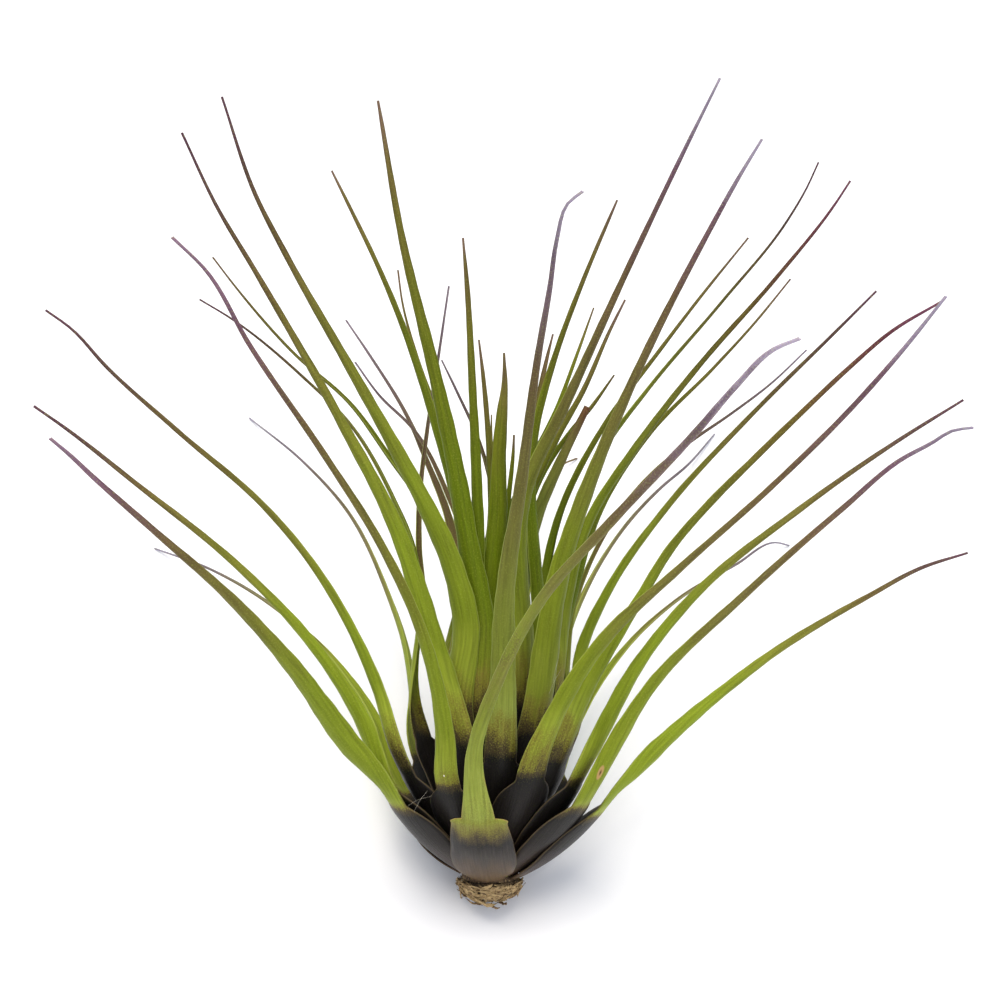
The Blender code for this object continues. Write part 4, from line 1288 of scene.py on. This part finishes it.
def root_strand(azimuth, drift, radius, chance):
    """Points and radii of a dead root: knotted, running out under the stub and curling up at its end."""
    points = []
    radii = []
    for i in range(ROOT_KNOTS):
        share = i / (ROOT_KNOTS - 1)
        reach = between(ROOT_REACH, share)
        height = ROOT_HEIGHT - ROOT_SAG * math.sin(math.pi * share)
        point = np.array((drift * MM * share**2, -reach, height))
        point += np.array([chance.uniform(-1, 1) for _ in range(3)]) * ROOT_WANDER
        points.append(turned_about_stem(point, azimuth))
        radii.append(radius * chance.uniform(*ROOT_VARIES) * (1 - ROOT_THINNING * share**3))
    return points, radii


def make_dead_roots(settings):
    """The short dead roots under the stub, wiry and knotted, their brown darkened with painted shade."""
    # the root colour carries painted shade: it is darker so that the roots merge with the shade under the
    # stub
    wiry = dry_material(
        "wiry_dead_root_painted_shade", settings.gap_colour, settings.root_colour_with_painted_shade, settings.crumb_colour, *ROOT_WIRE)
    for number, (azimuth, drift) in enumerate(ROOTS, 1):
        chance = random.Random(ROOT_SEED + number)
        strand = root_strand(azimuth, drift, settings.root_radius, chance)
        root = make_strands(f"dead_root_{number}_wiry", [strand], ROOT_ROUNDNESS)
        finish_foot_piece(root, wiry, (f"dead_root_{number}",))


def crumb_strand(chance, radius):
    """Points and radii of one short loose root end at the rim of the stub."""
    azimuth = chance.uniform(*CRUMB_AZIMUTHS)
    height = chance.uniform(*CRUMB_HEIGHTS)
    start = np.array((0.0, -stub_radius_at(height) * chance.uniform(*CRUMB_REACH), height))
    sideways = chance.choice((-1.0, 1.0))
    heading = unit(np.array((sideways, *(chance.uniform(*lean) for lean in CRUMB_LEANS))))
    length = chance.uniform(*CRUMB_LENGTHS)
    points = []
    radii = []
    for i in range(CRUMB_KNOTS):
        share = i / (CRUMB_KNOTS - 1)
        bend = np.array([chance.uniform(-1, 1) for _ in range(3)]) * CRUMB_BEND
        points.append(turned_about_stem(start + heading * length * share + bend * share, azimuth))
        radii.append(radius * chance.uniform(*CRUMB_VARIES) * (1 - CRUMB_THINNING * share))
    return points, radii


def make_crumbs(settings):
    """Loose root ends and torn fibres that fringe the stub."""
    chance = random.Random(CRUMB_SEED)
    strands = [crumb_strand(chance, settings.crumb_radius) for _ in range(settings.crumbs)]
    piece = make_strands("loose_root_ends", strands, CRUMB_ROUNDNESS)
    fibre = dry_material(
        "torn_root_fibre", settings.gap_colour, settings.bark_colour, settings.crumb_colour, *ROOT_FIBRE)
    finish_foot_piece(piece, fibre)


def make_flakes(settings):
    """Small papery flakes that cling round the stub, modelled once and copied with their own meshes."""
    chance = random.Random(FLAKE_SEED)
    columns, rows = FLAKE_GRID
    model = add_grid("papery_flakes", columns, rows)
    across, row = grid_shares(model, rows)
    up = row / rows - 0.5
    bend = FLAKE_CURLS[0] * across**2 - FLAKE_CURLS[1] * up**2
    height = FLAKE_HEIGHT * up * (1 - FLAKE_NARROWING * across**2)
    points = np.stack((across, bend, height), axis=1) * settings.flake_size
    model.data.vertices.foreach_set("co", points.ravel())
    add_shell(model, settings.scale_thickness / 2, 1 - FLAKE_THINNING * np.abs(across))
    crumple(model, "flake_crumple", FLAKE_CRUMPLE_SIZE, settings.scale_crumple)
    copies = []
    for _ in range(settings.flakes):
        copy = model.copy()
        copy.data = model.data.copy()
        bpy.context.scene.collection.objects.link(copy)
        azimuth = math.radians(chance.uniform(*FLAKE_AZIMUTHS))
        height = chance.uniform(*FLAKE_HEIGHTS)
        reach = stub_radius_at(height) * chance.uniform(*FLAKE_REACH)
        place = Vector((reach * math.sin(azimuth), -reach * math.cos(azimuth), height))
        turn = Matrix.Rotation(azimuth, 4, "Z")
        turn = turn @ Matrix.Rotation(chance.uniform(-FLAKE_TILT, FLAKE_TILT), 4, "X")
        turn = turn @ Matrix.Rotation(chance.uniform(-FLAKE_LEAN, FLAKE_LEAN), 4, "Y")
        size = Matrix.Diagonal((*(chance.uniform(*sizes) for sizes in FLAKE_SIZES), 1.0))
        copy.data.transform(Matrix.Translation(place) @ turn @ size)
        copies.append(copy)
    bpy.data.objects.remove(model)
    select_only(copies[0])
    for copy in copies[1:]:
        copy.select_set(True)
    bpy.ops.object.join()
    flakes = bpy.context.object
    flakes.name = "papery_flakes"
    paper = dry_material(
        "torn_papery_flakes", settings.scale_dark_colour, settings.scale_colour, settings.crumb_colour,
        *FLAKE_PAPER)
    finish_foot_piece(flakes, paper)


def make_hairs(settings):
    """Single dry white hairs caught between the sheaths."""
    strands = []
    for first, last, depths in HAIRS:
        start = photo_point(first, depths[0] * MM)
        end = photo_point(last, depths[1] * MM)
        lift = np.array((0.0, -1.0, 1.0)) * HAIR_ARCH
        second = between((start, end), HAIR_THIRD) + lift
        third = between((start, end), 1 - HAIR_THIRD) + lift * HAIR_SECOND_ARCH
        radii = [settings.hair_radius] * 3 + [settings.hair_radius * HAIR_THINNED]
        strands.append(([start, second, third, end], radii))
    hairs = make_strands("white_hairs", strands, HAIR_ROUNDNESS)
    hairs.data.shade_smooth()
    settle_in_world(hairs)
    finish_piece(hairs, hair_material(settings.hair_colour, settings.hair_shade))


def add_light(name, place, target, size, power, colour):
    """A square soft light that points at a target."""
    deselect_all()
    bpy.ops.object.light_add(type="AREA", location=place)
    light = bpy.context.object
    light.name = name
    light.data.shape = "SQUARE"
    light.data.size = size
    light.data.energy = power
    light.data.color = colour
    light.rotation_euler = (Vector(target) - Vector(place)).to_track_quat("-Z", "Y").to_euler()


def make_stage(settings):
    """The white table, the soft studio light and the camera at the photograph's viewing angle."""
    deselect_all()
    bpy.ops.mesh.primitive_plane_add(size=settings.table_size, location=(0, 0, 0))
    table = bpy.context.object
    table.name = "white_table"
    bpy.ops.object.mode_set(mode="EDIT")
    bpy.ops.mesh.select_all(action="SELECT")
    bpy.ops.mesh.subdivide(number_cuts=TABLE_CUTS)
    bpy.ops.object.mode_set(mode="OBJECT")
    table.data.materials.append(table_material(settings.table_colour))

    world = bpy.data.worlds.new("soft_room")
    world.use_nodes = True
    backdrop = world.node_tree.nodes["Background"]
    set_inputs(world.node_tree, backdrop, {
        "Color": opaque(settings.room_colour),
        "Strength": settings.room_light,
    })
    bpy.context.scene.world = world
    centre = PLANT @ Vector((0.0, 0.0, LIT_HEIGHT))
    size = settings.key_size
    add_light("key_softbox", KEY_PLACE, centre, size, settings.key_power, settings.key_colour)
    add_light("fill_softbox", FILL_PLACE, centre, size, settings.fill_power, settings.room_colour)

    deselect_all()
    bpy.ops.object.camera_add()
    camera = bpy.context.object
    camera.name = "photo_camera"
    camera.data.sensor_width = SENSOR_WIDTH
    camera.data.lens = SENSOR_WIDTH * VIEW_DISTANCE / (PHOTO_WIDTH * PHOTO_SCALE)
    camera.data.dof.use_dof = False
    camera.data.clip_start = CLIP_START
    eye = Vector((CENTRE_ACROSS, -VIEW_DISTANCE, CENTRE_UP))
    camera.matrix_world = PLANT @ Matrix.Translation(eye) @ Matrix.Rotation(math.pi / 2, 4, "X")
    bpy.context.scene.camera = camera
    bpy.context.scene.view_settings.view_transform = "Standard"


def length_property(name, description, default, **limits):
    """A length that a user can change."""
    return bpy.props.FloatProperty(
        name=name, description=description, default=default, unit="LENGTH", precision=5, **limits)


def share_property(name, description, default, **limits):
    """A share from none to all that a user can change."""
    return bpy.props.FloatProperty(
        name=name, description=description, default=default, subtype="FACTOR",
        **{"min": 0.0, "max": 1.0, **limits})


def colour_property(name, description, hex_colour):
    """A colour that a user can change, from its sRGB hex value."""
    return bpy.props.FloatVectorProperty(
        name=name, description=description, default=linear(hex_colour), subtype="COLOR", size=3,
        min=0.0, max=1.0)


class LeafSettings(bpy.types.PropertyGroup):
    """Sizes and colours that all the leaves share."""

    columns: bpy.props.IntProperty(
        name="Faces across", description="Faces across a leaf", default=12, min=4, max=24)
    sheath_rows: bpy.props.IntProperty(
        name="Sheath rows", description="Rows of faces along a sheath", default=48, min=8, max=80)
    row_length: length_property("Row length", "Length of a face along a blade", 2.6 * MM, min=0.5 * MM)
    outer_thickness: length_property("Outer thickness", "Thickness of the outermost leaves", 1.0 * MM)
    inner_thickness: length_property("Inner thickness", "Thickness of the innermost leaves", 0.6 * MM)
    inner_from_layer: bpy.props.FloatProperty(
        name="Inner from layer", description="Layer from which a leaf counts as an inner one", default=7.0)
    foot_colour: colour_property("Foot", "Foot of a sheath, where it leaves the stem", "#5d4934")
    low_sheath_colour: colour_property("Low sheath", "Purple-brown just above the foot", "#3a2e28")
    sheath_colour: colour_property("Sheath", "Dark brown middle of a sheath", "#231e1c")
    charcoal_colour: colour_property("Charcoal", "Sheath just below the change to green", "#1b1918")
    front_low_colour: colour_property("Front foot", "Tan-brown lower front sheath", "#5f4d39")
    front_sheath_colour: colour_property("Front sheath", "Worn grey-brown sheath at the front", "#403a36")
    bronze_colour: colour_property("Bronze", "First tone of the change to green", "#4a3f26")
    olive_colour: colour_property("Olive", "Second tone of the change to green", "#77702c")
    outer_change_share: share_property(
        "Outer change share", "Where an outermost sheath begins to turn green, as a share of it", -0.16,
        min=-1.0)
    front_change_share: share_property(
        "Front change", "Where the front sheath begins to turn green, as a share of it", -0.24, min=-1.0)
    outer_change: length_property("Outer change", "Stretch over which an outer leaf turns green", 9.0 * MM)
    inner_change: length_property("Inner change", "Stretch over which an inner leaf turns green", 17.0 * MM)
    wander: length_property("Wander", "How far the colour changes wander along the leaf", 9.0 * MM)
    speckle: length_property("Speckle", "How far they are speckled along the leaf", 6.0 * MM)
    outer_shade: share_property(
        "Outer shade", "Colour of an outer leaf's tissue as a share of what the eye sees", 1.0, max=2.0)
    inner_shade: share_property(
        "Inner shade", "Colour of an inner leaf's tissue as a share of what the eye sees", 0.72, max=2.0)
    paper_colour: colour_property("Papery margin", "Thin dry margin of a sheath", "#64563f")
    tooth_colour: colour_property("Tooth", "Dry tan tooth at a shoulder of the front sheath", "#b89a5c")
    edge_colour: colour_property("Blade edge", "Pale line along a blade's edge", "#a3ad52")
    edge_strength: share_property("Edge strength", "How strongly the edge shows", 0.6)
    scurf_colour: colour_property("Scurf", "Pale scales that dust the leaf", "#a9b04a")
    outer_scurf: share_property("Outer scurf", "How strongly the scales show on an outer leaf", 0.34)
    inner_scurf: share_property("Inner scurf", "How strongly the scales show on an inner leaf", 0.14)
    streak_dark: share_property("Dark streaks", "Shade of the darkest streaks", 0.72)
    streak_light: share_property("Light streaks", "Shade of the lightest streaks", 1.2, max=2.0)
    relief: length_property("Relief", "Height of the veins and the scales", 0.06 * MM)
    sheath_roughness: share_property("Sheath roughness", "Roughness of the sheaths", 0.42)
    blade_roughness: share_property("Blade roughness", "Roughness of the blades", 0.52)
    sheath_shine: share_property("Sheath shine", "Strength of a sheath's reflection", 0.18)
    blade_shine: share_property("Blade shine", "Strength of a blade's reflection", 0.1)
    sheen: share_property("Sheen strength", "Strength of the soft light on grazing surfaces", 0.012)
    sheen_colour: colour_property("Sheen", "Cool light on grazing surfaces", "#c6cfe6")
    glow: share_property("Glow", "How much light passes through the tissue", 0.1)


class StubSettings(bpy.types.PropertyGroup):
    """Sizes and colours of the dry parts at the foot."""

    stub_inset: length_property("Stub inset", "How far the stub stays inside its dry remains", 0.7 * MM)
    stub_sides: bpy.props.IntProperty(
        name="Stub sides", description="Faces round the stub", default=48, min=16, max=96)
    stub_lumps: length_property("Stub lumps", "How far the stub's surface is pushed in and out", 1.3 * MM)
    scale_thickness: length_property("Scale thickness", "Thickness of a dry scale", 0.5 * MM)
    scale_crumple: length_property("Scale crumple", "How far a dry scale is crumpled", 0.6 * MM)
    root_radius: length_property("Root radius", "Radius of a dead root", 0.3 * MM)
    crumb_radius: length_property("Root end radius", "Radius of a loose root end", 0.17 * MM)
    crumbs: bpy.props.IntProperty(name="Root ends", description="Loose root ends", default=110, min=0)
    flakes: bpy.props.IntProperty(name="Flakes", description="Papery flakes", default=110, min=1)
    flake_size: length_property("Flake size", "Half the length of a papery flake", 2.6 * MM)
    gap_colour: colour_property("Gaps", "Dark gaps between the dry parts", "#24180f")
    bark_colour: colour_property("Bark", "Dry stem bark", "#4c3925")
    crumb_colour: colour_property("Crumbs", "Pale worn crumbs", "#c4ab78")
    scale_colour: colour_property("Scale", "Dry leaf base", "#a98e62")
    scale_dark_colour: colour_property("Scale shade", "Darker dry leaf base", "#5a4029")
    # painted shade: the dead root's brown is darkened so that the roots merge with the shade under the stub
    root_colour_with_painted_shade: colour_property("Root", "Dead root", "#7a5c3a")


class DetailSettings(bpy.types.PropertyGroup):
    """Sizes and colours of the small details."""

    hair_radius: length_property("Hair radius", "Radius of a white hair", 0.02 * MM)
    hair_colour: colour_property("Hair", "Dry white hair", "#cfcabb")
    hair_shade: colour_property("Hair shade", "Browner stretches of a hair", "#a39a84")


class StageSettings(bpy.types.PropertyGroup):
    """The table and the light."""

    table_size: length_property("Table size", "Side of the table", 4.0)
    table_colour: colour_property("Table", "Plain white table", "#f7f8fa")
    room_colour: colour_property(
        "Room light", "Colour of the light from all round and of the fill light", "#f1f5ff")
    room_light: bpy.props.FloatProperty(
        name="Room strength", description="Strength of the light from all round", default=0.82, min=0.0)
    key_size: length_property("Key size", "Side of the soft lights", 0.9)
    key_power: bpy.props.FloatProperty(
        name="Key power", description="Power of the main light", default=13.0, min=0.0, unit="POWER")
    key_colour: colour_property("Key light", "Colour of the main light", "#fff5e6")
    fill_power: bpy.props.FloatProperty(
        name="Fill power", description="Power of the fill light", default=3.0, min=0.0, unit="POWER")


class AIRPLANT_OT_outer_leaves(bpy.types.Operator):
    """Grow the outer leaves, whose sheaths wrap the foot of the plant"""

    bl_idname = "airplant.outer_leaves"
    bl_label = "Outer leaves"

    def execute(self, context):
        settings = context.scene.airplant_leaves
        for leaf in LEAVES:
            if leaf.layer < settings.inner_from_layer:
                make_leaf(leaf, settings)
        return {"FINISHED"}


class AIRPLANT_OT_inner_leaves(bpy.types.Operator):
    """Grow the inner leaves, which stand in the middle of the rosette"""

    bl_idname = "airplant.inner_leaves"
    bl_label = "Inner leaves"

    def execute(self, context):
        settings = context.scene.airplant_leaves
        for leaf in LEAVES:
            if leaf.layer >= settings.inner_from_layer:
                make_leaf(leaf, settings)
        return {"FINISHED"}


class AIRPLANT_OT_stem(bpy.types.Operator):
    """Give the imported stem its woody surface"""

    bl_idname = "airplant.stem"
    bl_label = "Stem"

    def execute(self, context):
        settings = context.scene.airplant_stub
        wood = dry_material(
            "fibrous_stem_wood", settings.gap_colour, settings.bark_colour, settings.scale_colour,
            *STEM_WOOD)
        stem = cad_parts["stem"]
        for slot in stem.material_slots:
            slot.material = wood
        return {"FINISHED"}


class AIRPLANT_OT_root_stub(bpy.types.Operator):
    """Model the crumbling cut end below the lowest sheaths"""

    bl_idname = "airplant.root_stub"
    bl_label = "Root stub"

    def execute(self, context):
        make_stub(context.scene.airplant_stub)
        return {"FINISHED"}


class AIRPLANT_OT_dry_scales(bpy.types.Operator):
    """Model the torn dry leaf bases and the flakes round the stub"""

    bl_idname = "airplant.dry_scales"
    bl_label = "Dry scales"

    def execute(self, context):
        settings = context.scene.airplant_stub
        make_dry_scales(settings)
        make_flakes(settings)
        return {"FINISHED"}


class AIRPLANT_OT_dead_roots(bpy.types.Operator):
    """Model the dead roots and loose root ends under the stub"""

    bl_idname = "airplant.dead_roots"
    bl_label = "Dead roots"

    def execute(self, context):
        settings = context.scene.airplant_stub
        make_dead_roots(settings)
        make_crumbs(settings)
        return {"FINISHED"}


class AIRPLANT_OT_details(bpy.types.Operator):
    """Add the single white hairs caught between the sheaths"""

    bl_idname = "airplant.details"
    bl_label = "Small details"

    def execute(self, context):
        make_hairs(context.scene.airplant_details)
        return {"FINISHED"}


class AIRPLANT_OT_stage(bpy.types.Operator):
    """Set up the white table, the soft light and the camera"""

    bl_idname = "airplant.stage"
    bl_label = "Stage"

    def execute(self, context):
        make_stage(context.scene.airplant_stage)
        return {"FINISHED"}


class AIRPLANT_PT_panel(bpy.types.Panel):
    """Sidebar panel that lists the steps and their settings"""

    bl_idname = "AIRPLANT_PT_panel"
    bl_label = "Air Plant"
    bl_space_type = "VIEW_3D"
    bl_region_type = "UI"
    bl_category = "Air Plant"

    def draw(self, context):
        for label, owner, _, operators in SECTIONS:
            box = self.layout.box()
            box.label(text=label)
            for operator in operators:
                box.operator(operator.bl_idname)
            settings = getattr(context.scene, owner)
            for name in settings.__annotations__:
                box.prop(settings, name)


SECTIONS = (
    ("Leaves", "airplant_leaves", LeafSettings, (AIRPLANT_OT_outer_leaves, AIRPLANT_OT_inner_leaves)),
    ("Foot", "airplant_stub", StubSettings,
     (AIRPLANT_OT_stem, AIRPLANT_OT_root_stub, AIRPLANT_OT_dry_scales, AIRPLANT_OT_dead_roots)),
    ("Details", "airplant_details", DetailSettings, (AIRPLANT_OT_details,)),
    ("Stage", "airplant_stage", StageSettings, (AIRPLANT_OT_stage,)),
)

CLASSES = [cls for _, _, group, operators in SECTIONS for cls in (group, *operators)]
CLASSES.append(AIRPLANT_PT_panel)


def register():
    for cls in CLASSES:
        bpy.utils.register_class(cls)
    for _, owner, group, _ in SECTIONS:
        setattr(bpy.types.Scene, owner, bpy.props.PointerProperty(type=group))


def unregister():
    for _, owner, _, _ in SECTIONS:
        delattr(bpy.types.Scene, owner)
    for cls in reversed(CLASSES):
        bpy.utils.unregister_class(cls)


def main():
    register()
    bpy.ops.airplant.outer_leaves()
    bpy.ops.airplant.inner_leaves()
    bpy.ops.airplant.stem()
    bpy.ops.airplant.root_stub()
    bpy.ops.airplant.dry_scales()
    bpy.ops.airplant.dead_roots()
    bpy.ops.airplant.details()
    bpy.ops.airplant.stage()


if __name__ == "__main__":
    main()
